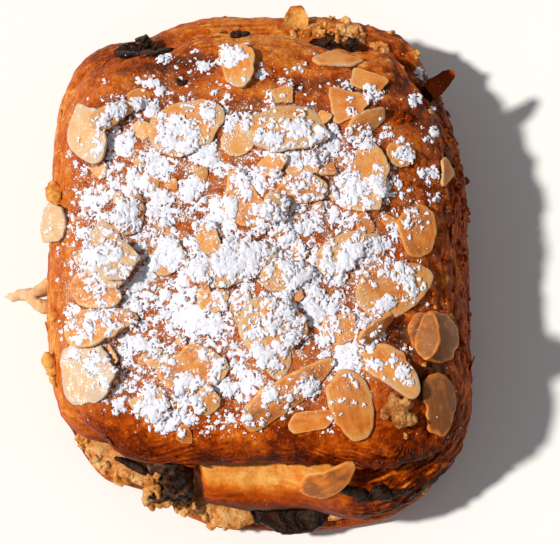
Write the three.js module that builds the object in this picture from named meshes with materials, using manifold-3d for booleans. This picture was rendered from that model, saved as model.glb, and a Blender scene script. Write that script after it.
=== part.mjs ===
// Almond pain au chocolat: a rolled, laminated pastry, split and filled with almond cream,
// with chocolate batons showing at both ends and flaked almonds baked onto the top.
// Millimetres, +Z up. X runs across the pastry, Y along the batons, and the front end is at -Y.
// The origin is the middle of the flat base.
import * as THREE from "three";
import { mergeVertices } from "three/addons/utils/BufferGeometryUtils.js";
import Module from "manifold-3d";

const wasm = await Module();
wasm.setup();

// Driving sizes of the pastry
const WIDTH = 100;
const LENGTH = 126;
const HEIGHT = 44;
const SEAM_HEIGHT = 8.5;
const CREAM_DEPTH = 3.4;
const GAP = 0.35;
const AROUND = 80;

// How square each corner of the plan is, as the exponent of a superellipse
const BACK_LEFT_CORNER = 4.0;
const BACK_RIGHT_CORNER = 2.6;
const FRONT_LEFT_CORNER = 2.9;
const FRONT_RIGHT_CORNER = 3.9;

// Soft dents and bulges of the plan: direction and spread in degrees, reach outwards in mm
const PLAN_BULGES = [
  { at: 116, spread: 9, out: -4.2 },
  { at: 245, spread: 11, out: -6.0 },
  { at: -37, spread: 9, out: 1.8 },
  { at: 90, spread: 30, out: -1.3 },
  { at: 57, spread: 8, out: 2.6 },
];

// The ends are open, the long sides are smooth: an end fades out between these shares of the half width
const END_FULL = 0.74;
const END_GONE = 0.97;

// Wall of the upper crust from the seam upwards: height, then how far in from the plan it lies on
// the long sides, at the front end and at the back end. The ends show the roll, the groove and the lip.
// belly is how much of the roll's setback at the front end a station takes.
const UPPER_WALL = [
  { z: 14.2, side: 1.6, front: 3.0, back: 1.6, belly: 0.8 },
  { z: 17.5, side: 0.0, front: 1.5, back: 0.0, belly: 1 },
  { z: 21.0, side: 0.3, front: 2.0, back: 0.4, belly: 1 },
  { z: 23.5, side: 0.9, front: 4.0, back: 1.6, belly: 1 },
  { z: 25.4, side: 1.5, front: 7.6, back: 4.0, belly: 0.6 },
  { z: 26.2, side: 1.8, front: 12.0, back: 7.0, belly: 0.3 },
  { z: 26.6, side: 2.0, front: 18.0, back: 11.5, belly: 0 },
  { z: 28.2, side: 2.7, front: 19.5, back: 13.0, belly: 0 },
  { z: 29.4, side: 3.3, front: 16.0, back: 10.5, belly: 0 },
  { z: 30.6, side: 4.0, front: 14.5, back: 9.0, belly: 0 },
  { z: 32.8, side: 5.5, front: 14.0, back: 8.4, belly: 0 },
  { z: 35.4, side: 8.0, front: 15.2, back: 9.8, belly: 0 },
  { z: 38.2, side: 12.0, front: 18.5, back: 13.5, belly: 0 },
];
const SEAM_INSET = 3.4;
const DOME_RINGS = 8;
const SEAM_RINGS = [0.35, 0.7];

// The golden roll at the front end is set back left of its bulging right end, and stops short on the left,
// where it leaves a recess. Each step fades over some millimetres of x.
const ROLL_STEPS = [
  { x: 19, fade: 7, back: 3.5 },
  { x: -15, fade: 2, back: 4.5 },
];

// The lip of the top sheet reaches further out at the front left and over the right baton, and stands back
// from the right baton's other end. It takes its full reach between two heights.
const LIP_LOW = 26.4;
const LIP_HIGH = 29.5;
const LIP_BULGES = [
  { at: 240, spread: 14, out: 9.0 },
  { at: -55, spread: 10, out: 5.4 },
  { at: 70, spread: 11, out: -3.6 },
];

// Waves of the seam, and where they fade out in the wall of the upper crust
const SEAM_WAVE = 1.1;
const WAVE_FULL = 15;
const WAVE_GONE = 24;

// Swells of the top sheet: folds across the back end, waves along the front end, and broad blisters.
// The wall takes them on between two heights.
const FOLD_HEIGHT = 0.7;
const FRONT_WAVE_HEIGHT = 0.7;
const BLISTER_HEIGHT = 0.5;
const SWELL_NONE = 29;
const SWELL_FULL = 38;
const DOME_POWER = 2.4;

// Wall of the lower crust from the base upwards
const LOWER_WALL = [
  { z: 0.0, inset: 7.0 },
  { z: 1.3, inset: 3.6 },
  { z: 4.0, inset: 1.4 },
  { z: 6.6, inset: 1.5 },
  { z: 8.2, inset: 2.8 },
];

// Edge of the almond cream, and where it has oozed out of the seam
const CREAM_INSET = 3.0;
const CREAM_EDGE_ROUND = 1.1;
const CREAM_OOZE = [
  { at: 236, spread: 13, out: 2.0 },
  { at: 262, spread: 6, out: 2.6 },
  { at: 162, spread: 4, out: 2.6 },
  { at: 202, spread: 5, out: 2.6 },
  { at: 184, spread: 3, out: 3.0 },
  { at: 20, spread: 8, out: 1.4 },
  { at: 305, spread: 12, out: 1.2 },
];
const TONGUE = { x: -54.0, y: -4.9, length: 16.0, width: 3.5, depth: 2.5, turn: 9 };

// Chocolate: two batons through the pastry under its top sheet, and a melted pool at the front seam
const BATON_WIDTH = 10;
const BATON_DEPTH = 5.5;
const BATON_CORNER = 2.2;
const BATONS = {
  chocolate_left: { front: [-19.5, -56.0, 24.2], back: [-29.0, 52.8, 26.6] },
  chocolate_right: { front: [26.4, -57.0, 22.8], back: [18.6, 54.4, 26.6] },
};
const POOL = { x: 8, y: -56.2, length: 19, width: 14, depth: 2.6 };

// Crisp flakes of crust that stand off the pastry and are one with it
const FLAKES = [
  { x: 42.4, y: 41.2, z: 29.5, length: 12.0, width: 4.6, turn: 40, tilt: -18 },
  { x: 9.0, y: 58.4, z: 26.0, length: 8.0, width: 6.0, turn: 84, tilt: -36 },
];
const FLAKE_THICK = 1.0;
const FLAKE_END_DROOP = 1.2;
const FLAKE_EDGE_DROOP = 0.3;
const FLAKE_TWIST = 0.4;

// Crumbly almond cream baked onto the crust at the front right
const CRUMB_HEAP = { x: 32.0, y: -38.8, length: 9.5, width: 9.0, lump: 1.8, lumps: 7 };

// Flaked almonds, from the lowest to the topmost. x, y: middle; turn: degrees from +X; length, width;
// lean: degrees of roll about its length; breaks: straight broken edges, each with the direction it faces
// in degrees from +X and its distance from the middle.
const SLICE_THICK = 1.1;
const SLICE_POINTS = 14;
const SLICE_TAPER = 0.2;
const SLICE_TWIST = 0.25;
const FINE_STEPS = 144;
const CORNER_PULL = 0.9;
const HANG_FROM = 0.35;
const DRAPE = 0.6;
const MOST_DROOP = 1.8;
const SLICES = [
  { x: -5.0, y: 43.0, turn: -72, length: 12.5, width: 9.5, lean: 12, breaks: [[194, 3.4], [98, 5.4]] },
  { x: -40.0, y: 27.5, turn: -66, length: 18.5, width: 13.0, breaks: [[154, 6.3], [56, 5.3]] },
  { x: -33.5, y: 31.0, turn: 31, length: 13.5, width: 5.6, lean: -14, breaks: [[20, 6.0]] },
  { x: -4.0, y: 24.0, turn: 20, length: 9.0, width: 7.0, breaks: [[20, 2.6], [100, 2.6]] },
  { x: -16.0, y: 28.0, turn: 25, length: 19.0, width: 13.0 },
  { x: 6.0, y: 35.5, turn: 0, length: 7.0, width: 6.0, breaks: [[110, 2.1], [0, 2.1], [270, 2.0], [200, 2.3]] },
  { x: 11.0, y: 18.5, turn: 10, length: 10.0, width: 6.5, breaks: [[10, 3.0]] },
  { x: 7.5, y: 27.5, turn: -6, length: 22.0, width: 13.5, breaks: [[22, 7.6], [115, 6.1], [88, 5.4]] },
  { x: 26.0, y: 39.5, turn: -18, length: 11.0, width: 7.0, breaks: [[72, 2.2], [253, 2.6], [165, 4.3], [319, 3.6]] },
  { x: 18.5, y: 45.5, turn: -4, length: 13.5, width: 8.0,
    breaks: [[126, 3.2], [64, 2.5], [269, 2.5], [306, 4.2], [220, 5.0]] },
  { x: 21.5, y: 33.5, turn: -12, length: 13.0, width: 11.0, breaks: [[78, 3.2], [186, 4.5], [326, 3.5], [293, 3.6]] },
  { x: 26.0, y: 29.0, turn: 32, length: 11.5, width: 5.5, lean: 20, breaks: [[10, 4.4]] },
  { x: 33.5, y: 21.5, turn: -20, length: 8.0, width: 6.0, breaks: [[-30, 2.6], [80, 2.3]] },
  { x: 26.0, y: 16.0, turn: 80, length: 20.0, width: 12.0, lean: -8,
    breaks: [[348, 3.9], [270, 8.3], [31, 5.2], [113, 8.1]] },
  { x: 10.5, y: 12.5, turn: -4, length: 14.0, width: 7.6, breaks: [[95, 3.2], [51, 4.2], [335, 5.0], [153, 5.0]] },
  { x: 44.5, y: 19.0, turn: 75, length: 9.0, width: 7.0, breaks: [[66, 2.6], [323, 1.9], [185, 2.2]] },
  { x: -48.0, y: 7.4, turn: 84, length: 10.8, width: 7.4, lean: 34, breaks: [[75, 4.2], [270, 4.6]] },
  { x: -40.0, y: -29.0, turn: -30, length: 18.0, width: 16.0, breaks: [[92, 6.9], [182, 6.9]] },
  { x: -36.5, y: -18.5, turn: 12, length: 17.5, width: 10.0, breaks: [[88, 3.9]] },
  { x: -37.0, y: -10.0, turn: -35, length: 14.0, width: 10.5 },
  { x: -36.0, y: -2.0, turn: -62, length: 20.5, width: 11.5, breaks: [[150, 4.6]] },
  { x: -31.0, y: -4.0, turn: 30, length: 12.5, width: 9.5, breaks: [[40, 3.6], [-30, 4.2]] },
  { x: -29.0, y: 7.0, turn: 70, length: 10.0, width: 7.0, lean: 14 },
  { x: -20.0, y: -3.0, turn: 20, length: 10.5, width: 8.0, breaks: [[30, 3.4], [150, 3.6]] },
  { x: 3.5, y: 18.0, turn: 25, length: 7.5, width: 5.0 },
  { x: -3.5, y: 10.0, turn: -68, length: 14.5, width: 10.5, breaks: [[35, 3.8], [170, 4.2]] },
  { x: 4.5, y: 8.0, turn: 75, length: 8.5, width: 6.5, lean: 15, breaks: [[75, 2.6]] },
  { x: -11.0, y: 0.5, turn: 65, length: 10.0, width: 7.5, breaks: [[20, 2.4], [160, 2.8]] },
  { x: -9.5, y: -13.5, turn: -15, length: 8.5, width: 6.0, breaks: [[-20, 2.8]] },
  { x: -3.5, y: -15.0, turn: 75, length: 7.5, width: 5.0 },
  { x: -5.5, y: -5.0, turn: 14, length: 21.0, width: 11.0, breaks: [[120, 4.4]] },
  { x: 7.0, y: -8.0, turn: 12, length: 12.5, width: 7.0 },
  { x: 2.5, y: -22.5, turn: -70, length: 19.5, width: 11.0 },
  { x: 7.0, y: -19.5, turn: -50, length: 13.5, width: 9.5, breaks: [[60, 3.6], [-50, 4.6]] },
  { x: -15.0, y: -28.5, turn: -4, length: 16.5, width: 11.5, breaks: [[128, 4.2]] },
  { x: -24.0, y: -36.5, turn: -35, length: 10.5, width: 7.5, breaks: [[-50, 3.2], [120, 2.8]] },
  { x: -11.0, y: -36.0, turn: 60, length: 8.0, width: 6.0, breaks: [[40, 2.4]] },
  { x: 12.5, y: -40.5, turn: 18, length: 11.0, width: 6.5, breaks: [[95, 2.2], [280, 2.3]] },
  { x: 7.0, y: -35.0, turn: 36, length: 26.0, width: 8.5, breaks: [[306, 3.3]] },
  { x: 21.5, y: -37.5, turn: -74, length: 17.0, width: 10.5 },
  { x: 30.0, y: -30.0, turn: -38, length: 16.0, width: 11.0, breaks: [[237, 2.8]] },
  { x: 41.2, y: -36.4, turn: -76, length: 14.6, width: 12.0, breaks: [[188, 3.4]] },
  { x: 41.8, y: -20.4, turn: 20, length: 16.5, width: 12.6, breaks: [[100, 5.2]] },
  { x: 19.5, y: -19.5, turn: 20, length: 10.0, width: 7.5, breaks: [[100, 2.9], [10, 3.2]] },
  { x: 32.0, y: -10.0, turn: 25, length: 20.0, width: 12.5 },
  { x: 38.6, y: -21.6, turn: 84, length: 11.5, width: 6.0, lean: -48 },
  { x: 27.5, y: -20.5, turn: 40, length: 11.0, width: 5.5, lean: 62 },
  { x: 36.5, y: 3.5, turn: 70, length: 12.5, width: 10.5, breaks: [[200, 4.0]] },
  { x: 19.5, y: -2.0, turn: 40, length: 14.0, width: 8.0 },
  { x: 15.9, y: -53.6, turn: 25, length: 15.6, width: 8.6, breaks: [[100, 3.2], [154, 5.6]] },
];

// The height map the almonds are laid on: a square of nodes this far apart
const MAP_HALF = 72;
const MAP_STEP = 0.5;
const MAP_SIDE = Math.round((2 * MAP_HALF) / MAP_STEP) + 1;
const STEEPEST = 2.2;

const mix = (a, b, share) => a + (b - a) * share;

function smoothstep(low, high, value) {
  const share = Math.min(1, Math.max(0, (value - low) / (high - low)));
  return share * share * (3 - 2 * share);
}

// Sum of soft bulges in one direction, the direction in radians
function bulge(bulges, angle) {
  let out = 0;
  for (const { at, spread, out: reach } of bulges) {
    const apart = THREE.MathUtils.euclideanModulo(THREE.MathUtils.radToDeg(angle) - at + 180, 360) - 180;
    out += reach * Math.exp(-((apart / spread) ** 2));
  }
  return out;
}

// Plan of the pastry in one direction: its radius, its edge, and how much it belongs to an open end
function planAt(angle) {
  const across = Math.cos(angle);
  const along = Math.sin(angle);
  const right = smoothstep(-1, 1, across);
  const back = smoothstep(-1, 1, along);
  const front = mix(FRONT_LEFT_CORNER, FRONT_RIGHT_CORNER, right);
  const corner = mix(front, mix(BACK_LEFT_CORNER, BACK_RIGHT_CORNER, right), back);
  const reach = Math.abs((2 * across) / WIDTH) ** corner + Math.abs((2 * along) / LENGTH) ** corner;
  const radius = reach ** (-1 / corner) + bulge(PLAN_BULGES, angle);
  const x = radius * across;
  const end = 1 - smoothstep(END_FULL, END_GONE, Math.abs((2 * x) / WIDTH));
  return { across, along, radius, x, end, angle };
}

// Gentle waves that the seam follows right through the pastry
const seamWave = (x, y) => SEAM_WAVE * Math.sin(x / 17 + 0.5) * Math.cos(y / 21 + 0.4);

// Gentle swells of the baked top sheet
function topSwell(x, y) {
  const folds = FOLD_HEIGHT * Math.sin(y / 4.6 + 0.9 * Math.sin(x / 13)) * smoothstep(36, 46, y);
  const frontWaves = FRONT_WAVE_HEIGHT * Math.sin(x / 7.5 + 0.6) * smoothstep(-34, -44, y);
  const blisters = BLISTER_HEIGHT * Math.sin(x / 9 + y / 12) * Math.sin(y / 10 - x / 15);
  return folds + frontWaves + blisters;
}

const plans = Array.from({ length: AROUND }, (_, step) => planAt((2 * Math.PI * step) / AROUND));

// A point at a radius and height in one direction of the plan
const ringPoint = (plan, radius, z) => new THREE.Vector3(radius * plan.across, radius * plan.along, z);

// Closed solid from rings of points, lowest first, with a single point at each end
function solidOfRings(bottom, rings, top) {
  const points = [bottom, ...rings.flat(), top];
  const index = [];
  const last = points.length - 1;
  for (let step = 0; step < AROUND; step++) {
    const next = (step + 1) % AROUND;
    index.push(0, 1 + next, 1 + step);
    for (let ring = 0; ring + 1 < rings.length; ring++) {
      const low = 1 + ring * AROUND;
      const high = low + AROUND;
      index.push(low + step, low + next, high + next, low + step, high + next, high + step);
    }
    const rim = last - AROUND;
    index.push(rim + step, rim + next, last);
  }
  const geometry = new THREE.BufferGeometry().setFromPoints(points);
  geometry.setIndex(index);
  return geometry;
}

// Rings of a face that follows the seam at a given height, from the middle outwards
function seamRings(height) {
  const rings = [];
  for (const share of SEAM_RINGS) {
    rings.push(plans.map((plan) => onSeam(plan, share * (plan.radius - SEAM_INSET), height)));
  }
  return rings;
}

function onSeam(plan, radius, height) {
  const point = ringPoint(plan, radius, height);
  point.z += seamWave(point.x, point.y);
  return point;
}

const seamMiddle = (height) => new THREE.Vector3(0, 0, height + seamWave(0, 0));

// How far in the wall of the upper crust lies at one station
function upperInset(station, plan) {
  const end = plan.along < 0 ? station.front : station.back;
  let setback = 0;
  for (const { x, fade, back } of plan.along < 0 ? ROLL_STEPS : []) {
    setback += back * smoothstep(x + fade, x - fade, plan.x);
  }
  const lip = smoothstep(LIP_LOW, LIP_HIGH, station.z) * bulge(LIP_BULGES, plan.angle);
  return mix(station.side, end, plan.end) + setback * plan.end * station.belly - lip;
}

function upperCrust() {
  const seam = SEAM_HEIGHT + CREAM_DEPTH + 2 * GAP;
  const rings = seamRings(seam);
  rings.push(plans.map((plan) => onSeam(plan, plan.radius - SEAM_INSET - upperInset(UPPER_WALL[1], plan), seam)));
  for (const station of UPPER_WALL) {
    rings.push(plans.map((plan) => {
      const point = ringPoint(plan, plan.radius - upperInset(station, plan), station.z);
      const wave = seamWave(point.x, point.y) * smoothstep(WAVE_GONE, WAVE_FULL, station.z);
      point.z += mix(wave, topSwell(point.x, point.y), smoothstep(SWELL_NONE, SWELL_FULL, station.z));
      return point;
    }));
  }
  const shoulder = UPPER_WALL.at(-1);
  for (let ring = 1; ring < DOME_RINGS; ring++) {
    const share = 1 - ring / DOME_RINGS;
    rings.push(plans.map((plan) => {
      const radius = share * (plan.radius - upperInset(shoulder, plan));
      const point = ringPoint(plan, radius, mix(HEIGHT, shoulder.z, share ** DOME_POWER));
      point.z += topSwell(point.x, point.y);
      return point;
    }));
  }
  const middle = new THREE.Vector3(0, 0, HEIGHT + topSwell(0, 0));
  return solidOfRings(seamMiddle(seam), rings, middle);
}

function almondCream() {
  const low = SEAM_HEIGHT + GAP;
  const high = low + CREAM_DEPTH;
  const reach = (plan) => plan.radius - CREAM_INSET + bulge(CREAM_OOZE, plan.angle);
  const rings = seamRings(low);
  rings.push(plans.map((plan) => onSeam(plan, reach(plan) - CREAM_EDGE_ROUND, low)));
  rings.push(plans.map((plan) => onSeam(plan, reach(plan), mix(low, high, 0.3))));
  rings.push(plans.map((plan) => onSeam(plan, reach(plan), mix(low, high, 0.7))));
  rings.push(plans.map((plan) => onSeam(plan, reach(plan) - CREAM_EDGE_ROUND, high)));
  rings.push(...seamRings(high).reverse());
  return solidOfRings(seamMiddle(low), rings, seamMiddle(high));
}

function lowerCrust() {
  const rings = [];
  for (const { z, inset } of LOWER_WALL) {
    const wave = smoothstep(1.3, 6.6, z);
    rings.push(plans.map((plan) => {
      const point = ringPoint(plan, plan.radius - inset, z);
      point.z += wave * seamWave(point.x, point.y);
      return point;
    }));
  }
  rings.push(...seamRings(SEAM_HEIGHT).reverse());
  return solidOfRings(new THREE.Vector3(0, 0, 0), rings, seamMiddle(SEAM_HEIGHT));
}

// A baton of chocolate, or with grow the tunnel it lies in
function baton({ front, back }, grow) {
  const half = BATON_WIDTH / 2 + grow;
  const rise = BATON_DEPTH / 2 + grow;
  const round = BATON_CORNER;
  const face = new THREE.Shape();
  face.absarc(half - round, rise - round, round, 0, Math.PI / 2);
  face.absarc(round - half, rise - round, round, Math.PI / 2, Math.PI);
  face.absarc(round - half, round - rise, round, Math.PI, 1.5 * Math.PI);
  face.absarc(half - round, round - rise, round, 1.5 * Math.PI, 2 * Math.PI);
  const start = new THREE.Vector3(...front);
  const run = new THREE.Vector3(...back).sub(start);
  const depth = run.length() + 2 * grow;
  const geometry = new THREE.ExtrudeGeometry(face, { depth, bevelEnabled: false, curveSegments: 3 });
  const forward = run.normalize();
  const sideways = new THREE.Vector3(0, 0, 1).cross(forward).normalize();
  const upward = forward.clone().cross(sideways);
  start.addScaledVector(forward, -grow);
  return geometry.applyMatrix4(new THREE.Matrix4().makeBasis(sideways, upward, forward).setPosition(start));
}

// The melted pool of chocolate at the front seam, or with grow the bay it fills in the cream
function pool(grow, depth) {
  const geometry = new THREE.CylinderGeometry(1, 1, depth, 28, 1);
  geometry.rotateX(Math.PI / 2);
  geometry.scale(POOL.length / 2 + grow, POOL.width / 2 + grow, 1);
  geometry.translate(POOL.x, POOL.y, SEAM_HEIGHT + GAP + CREAM_DEPTH / 2);
  return bendToSeam(geometry);
}

// The tongue of cream that has run out on the left side
function tongue() {
  const geometry = new THREE.SphereGeometry(1, 14, 8);
  geometry.rotateX(Math.PI / 2);
  geometry.scale(TONGUE.length / 2, TONGUE.width / 2, TONGUE.depth / 2);
  geometry.rotateZ(THREE.MathUtils.degToRad(TONGUE.turn));
  geometry.translate(TONGUE.x, TONGUE.y, SEAM_HEIGHT + GAP + CREAM_DEPTH / 2);
  return bendToSeam(geometry);
}

function bendToSeam(geometry) {
  const spots = geometry.getAttribute("position");
  for (let i = 0; i < spots.count; i++) {
    spots.setZ(i, spots.getZ(i) + seamWave(spots.getX(i), spots.getY(i)));
  }
  return geometry;
}

// Outline of a flaked almond: an oval with one end narrower, cut off along its broken edges.
// Its points gather where it turns, so that corners keep a point.
function sliceOutline({ length, width, turn = 0, breaks = [] }) {
  const fine = [];
  for (let step = 0; step <= FINE_STEPS; step++) {
    const angle = (2 * Math.PI * step) / FINE_STEPS;
    const half = (width / 2) * (1 - SLICE_TAPER * Math.cos(angle));
    let reach = 1 / Math.hypot((2 * Math.cos(angle)) / length, Math.sin(angle) / half);
    for (const [facing, distance] of breaks) {
      const towards = Math.cos(angle + THREE.MathUtils.degToRad(turn - facing));
      if (towards > 0) reach = Math.min(reach, distance / towards);
    }
    fine.push(new THREE.Vector2(reach * Math.cos(angle), reach * Math.sin(angle)));
  }
  const sides = fine.slice(1).map((point, step) => point.clone().sub(fine[step]));
  const around = sides.reduce((sum, side) => sum + side.length(), 0);
  const weights = sides.map((side, step) => {
    const before = sides[(step + FINE_STEPS - 1) % FINE_STEPS];
    return side.length() / around + (CORNER_PULL * Math.abs(before.cross(side))) / (before.length() * side.length());
  });
  const spacing = weights.reduce((sum, weight) => sum + weight, 0) / SLICE_POINTS;
  const outline = [];
  let run = spacing / 2;
  weights.forEach((weight, step) => {
    run += weight;
    if (run < spacing || outline.length === SLICE_POINTS) return;
    run -= spacing;
    outline.push(fine[step]);
  });
  return outline;
}

// A thin wavy solid with both faces split alike: a middle, a ring half way out, and the rim.
// Its ends and its long edges droop, and it is a little twisted.
function thinSlice(spec, thick, endDroop, edgeDroop, twist) {
  const { length, width } = spec;
  const outline = sliceOutline(spec);
  const lift = (x, y) => {
    const along = (2 * x) / length;
    const across = (2 * y) / width;
    return twist * along * across - endDroop * along ** 2 - edgeDroop * across ** 2;
  };
  const points = [];
  for (const side of [-thick / 2, thick / 2]) {
    points.push(new THREE.Vector3(0, 0, side + lift(0, 0)));
    for (const share of [0.55, 1]) {
      for (const spot of outline) {
        const x = share * spot.x;
        const y = share * spot.y;
        points.push(new THREE.Vector3(x, y, side + lift(x, y)));
      }
    }
  }
  const count = outline.length;
  const face = 1 + 2 * count;
  const index = [];
  for (let step = 0; step < count; step++) {
    const next = (step + 1) % count;
    const [a, b] = [1 + step, 1 + next];
    const [c, d] = [a + count, b + count];
    index.push(0, b, a, a, b, d, a, d, c);
    index.push(face, face + a, face + b, face + a, face + d, face + b, face + a, face + c, face + d);
    index.push(c, d, face + d, c, face + d, face + c);
  }
  const geometry = new THREE.BufferGeometry().setFromPoints(points);
  geometry.setIndex(index);
  return geometry;
}

// A crisp flake, set so that it bites into the crust it grows from
function flake({ x, y, z, length, width, turn, tilt }) {
  const geometry = thinSlice({ length, width }, FLAKE_THICK, FLAKE_END_DROOP, FLAKE_EDGE_DROOP, FLAKE_TWIST);
  geometry.rotateY(THREE.MathUtils.degToRad(tilt));
  geometry.rotateZ(THREE.MathUtils.degToRad(turn));
  return geometry.translate(x, y, z);
}

// One lump of the crumb heap; the lumps wind outwards from its middle so that each meets the last
function crumb(step) {
  const { x, y, length, width, lump, lumps } = CRUMB_HEAP;
  const out = Math.sqrt(step / lumps);
  const angle = step * 2.4;
  const geometry = new THREE.IcosahedronGeometry(lump * (1.15 - 0.35 * out), 1);
  geometry.rotateX(step);
  const across = (length / 2 - lump / 2) * out * Math.cos(angle);
  const along = (width / 2 - lump / 2) * out * Math.sin(angle);
  return geometry.translate(x + across, y + along, -0.8 * out);
}

// Solids for cutting and joining
function toSolid(geometry) {
  const bare = new THREE.BufferGeometry();
  bare.setAttribute("position", geometry.getAttribute("position"));
  bare.setIndex(geometry.index);
  const merged = mergeVertices(bare, 1e-4);
  const vertProperties = new Float32Array(merged.getAttribute("position").array);
  const triVerts = new Uint32Array(merged.index.array);
  return new wasm.Manifold(new wasm.Mesh({ numProp: 3, vertProperties, triVerts }));
}

function toGeometry(solid) {
  const { vertProperties, triVerts } = solid.getMesh();
  const geometry = new THREE.BufferGeometry();
  geometry.setAttribute("position", new THREE.BufferAttribute(vertProperties, 3));
  geometry.setIndex(new THREE.BufferAttribute(triVerts, 1));
  return geometry;
}

// Calls visit(node, z) for every node of the height map that lies under or over a triangle
function eachNode(geometry, visit) {
  const spots = geometry.getAttribute("position");
  const corner = [new THREE.Vector3(), new THREE.Vector3(), new THREE.Vector3()];
  for (let i = 0; i < geometry.index.count; i += 3) {
    corner.forEach((point, k) => point.fromBufferAttribute(spots, geometry.index.getX(i + k)));
    const [a, b, c] = corner;
    const area = (b.x - a.x) * (c.y - a.y) - (c.x - a.x) * (b.y - a.y);
    if (Math.abs(area) < 1e-9) continue;
    const firstColumn = Math.ceil((Math.min(a.x, b.x, c.x) + MAP_HALF) / MAP_STEP);
    const lastColumn = Math.floor((Math.max(a.x, b.x, c.x) + MAP_HALF) / MAP_STEP);
    const firstRow = Math.ceil((Math.min(a.y, b.y, c.y) + MAP_HALF) / MAP_STEP);
    const lastRow = Math.floor((Math.max(a.y, b.y, c.y) + MAP_HALF) / MAP_STEP);
    for (let row = firstRow; row <= lastRow; row++) {
      for (let column = firstColumn; column <= lastColumn; column++) {
        const x = column * MAP_STEP - MAP_HALF;
        const y = row * MAP_STEP - MAP_HALF;
        const shareB = ((x - a.x) * (c.y - a.y) - (c.x - a.x) * (y - a.y)) / area;
        const shareC = ((b.x - a.x) * (y - a.y) - (x - a.x) * (b.y - a.y)) / area;
        if (shareB < 0 || shareC < 0 || shareB + shareC > 1) continue;
        visit(row * MAP_SIDE + column, a.z + shareB * (b.z - a.z) + shareC * (c.z - a.z));
      }
    }
  }
}

const heights = new Float32Array(MAP_SIDE * MAP_SIDE).fill(-Infinity);

// Adds a piece to the map; loose pieces count for the nodes next to them too, so that rims never touch
const SAME_NODE = [0];
const NEXT_NODES = [0, -1, 1, -MAP_SIDE, MAP_SIDE];
function addToMap(geometry, neighbours) {
  eachNode(geometry, (node, z) => {
    for (const step of neighbours) {
      heights[node + step] = Math.max(heights[node + step], z);
    }
  });
}

// Lifts a piece until it clears everything already on the map by the gap, then adds it to the map
function settle(geometry, gap) {
  let lift = -Infinity;
  eachNode(geometry, (node, z) => {
    lift = Math.max(lift, heights[node] + gap - z);
  });
  geometry.translate(0, 0, lift);
  addToMap(geometry, NEXT_NODES);
  return geometry;
}

// Lowest value of a convex function of one number between two limits
function lowest(low, high, value) {
  for (let round = 0; round < 40; round++) {
    const third = (high - low) / 3;
    if (value(low + third) < value(high - third)) high -= third;
    else low += third;
  }
  return (low + high) / 2;
}

// Slopes of the lowest plane that clears the map under an almond, the plane it would come to rest on,
// and the height of that plane over the map towards the almond's ends and towards its long edges
function restingPlane(flat, { x, y, turn, length, width }) {
  const angle = THREE.MathUtils.degToRad(turn);
  const under = [];
  eachNode(flat, (node) => {
    if (heights[node] === -Infinity) return;
    const across = (node % MAP_SIDE) * MAP_STEP - MAP_HALF - x;
    const along = Math.floor(node / MAP_SIDE) * MAP_STEP - MAP_HALF - y;
    under.push([across, along, heights[node]]);
  });
  const need = (across, along) =>
    under.reduce((most, [u, v, h]) => Math.max(most, h - across * u - along * v), -Infinity);
  const alongFor = (across) => lowest(-STEEPEST, STEEPEST, (along) => need(across, along));
  const across = lowest(-STEEPEST, STEEPEST, (value) => need(value, alongFor(value)));
  const along = alongFor(across);
  const height = need(across, along);
  const hang = (isThere) => {
    const there = under.filter(([u, v]) => isThere(u, v));
    const total = there.reduce((sum, [u, v, h]) => sum + height + across * u + along * v - h, 0);
    return Math.min(MOST_DROOP, (DRAPE * total) / Math.max(1, there.length));
  };
  const atEnds = (u, v) => Math.abs(u * Math.cos(angle) + v * Math.sin(angle)) > HANG_FROM * length;
  const atEdges = (u, v) => Math.abs(v * Math.cos(angle) - u * Math.sin(angle)) > HANG_FROM * width;
  return { across, along, endDroop: hang(atEnds), edgeDroop: hang(atEdges) };
}

// One flaked almond, laid to rest on what is already there
function almond(spec, number) {
  const { x, y, turn, lean = 0 } = spec;
  const angle = THREE.MathUtils.degToRad(turn);
  const flat = thinSlice(spec, SLICE_THICK, 0, 0, 0);
  flat.rotateZ(angle).translate(x, y, 0);
  const { across, along, endDroop, edgeDroop } = restingPlane(flat, spec);
  const normal = new THREE.Vector3(-across, -along, 1).normalize();
  const rise = across * Math.cos(angle) + along * Math.sin(angle);
  const lengthways = new THREE.Vector3(Math.cos(angle), Math.sin(angle), rise).normalize();
  const widthways = normal.clone().cross(lengthways);
  const twist = SLICE_TWIST * Math.sin(number * 1.7);
  const geometry = thinSlice(spec, SLICE_THICK, endDroop, edgeDroop, twist);
  geometry.rotateX(THREE.MathUtils.degToRad(lean));
  geometry.applyMatrix4(new THREE.Matrix4().makeBasis(lengthways, widthways, normal).setPosition(x, y, 0));
  return settle(geometry, GAP / normal.z);
}

const crustMaterial = new THREE.MeshStandardMaterial({ color: 0xb5642a, roughness: 0.6, metalness: 0 });
const baseMaterial = new THREE.MeshStandardMaterial({ color: 0xa55a26, roughness: 0.7, metalness: 0 });
const creamMaterial = new THREE.MeshStandardMaterial({ color: 0xd9a763, roughness: 0.8, metalness: 0 });
const chocolateMaterial = new THREE.MeshStandardMaterial({ color: 0x2e1a13, roughness: 0.5, metalness: 0 });
const almondMaterial = new THREE.MeshStandardMaterial({ color: 0xe8c79b, roughness: 0.65, metalness: 0 });

const pastry = new THREE.Group();

function addNode(name, geometry, material) {
  const mesh = new THREE.Mesh(geometry, material.clone());
  mesh.name = name;
  pastry.add(mesh);
}

let upper = toSolid(upperCrust());
for (const spec of FLAKES) {
  upper = upper.add(toSolid(flake(spec)));
}
for (const [name, spec] of Object.entries(BATONS)) {
  upper = upper.subtract(toSolid(baton(spec, GAP)));
  addNode(name, toGeometry(toSolid(baton(spec, 0))), chocolateMaterial);
}
const upperGeometry = toGeometry(upper);
addNode("crust_upper", upperGeometry, crustMaterial);
addNode("crust_lower", lowerCrust(), baseMaterial);

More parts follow.
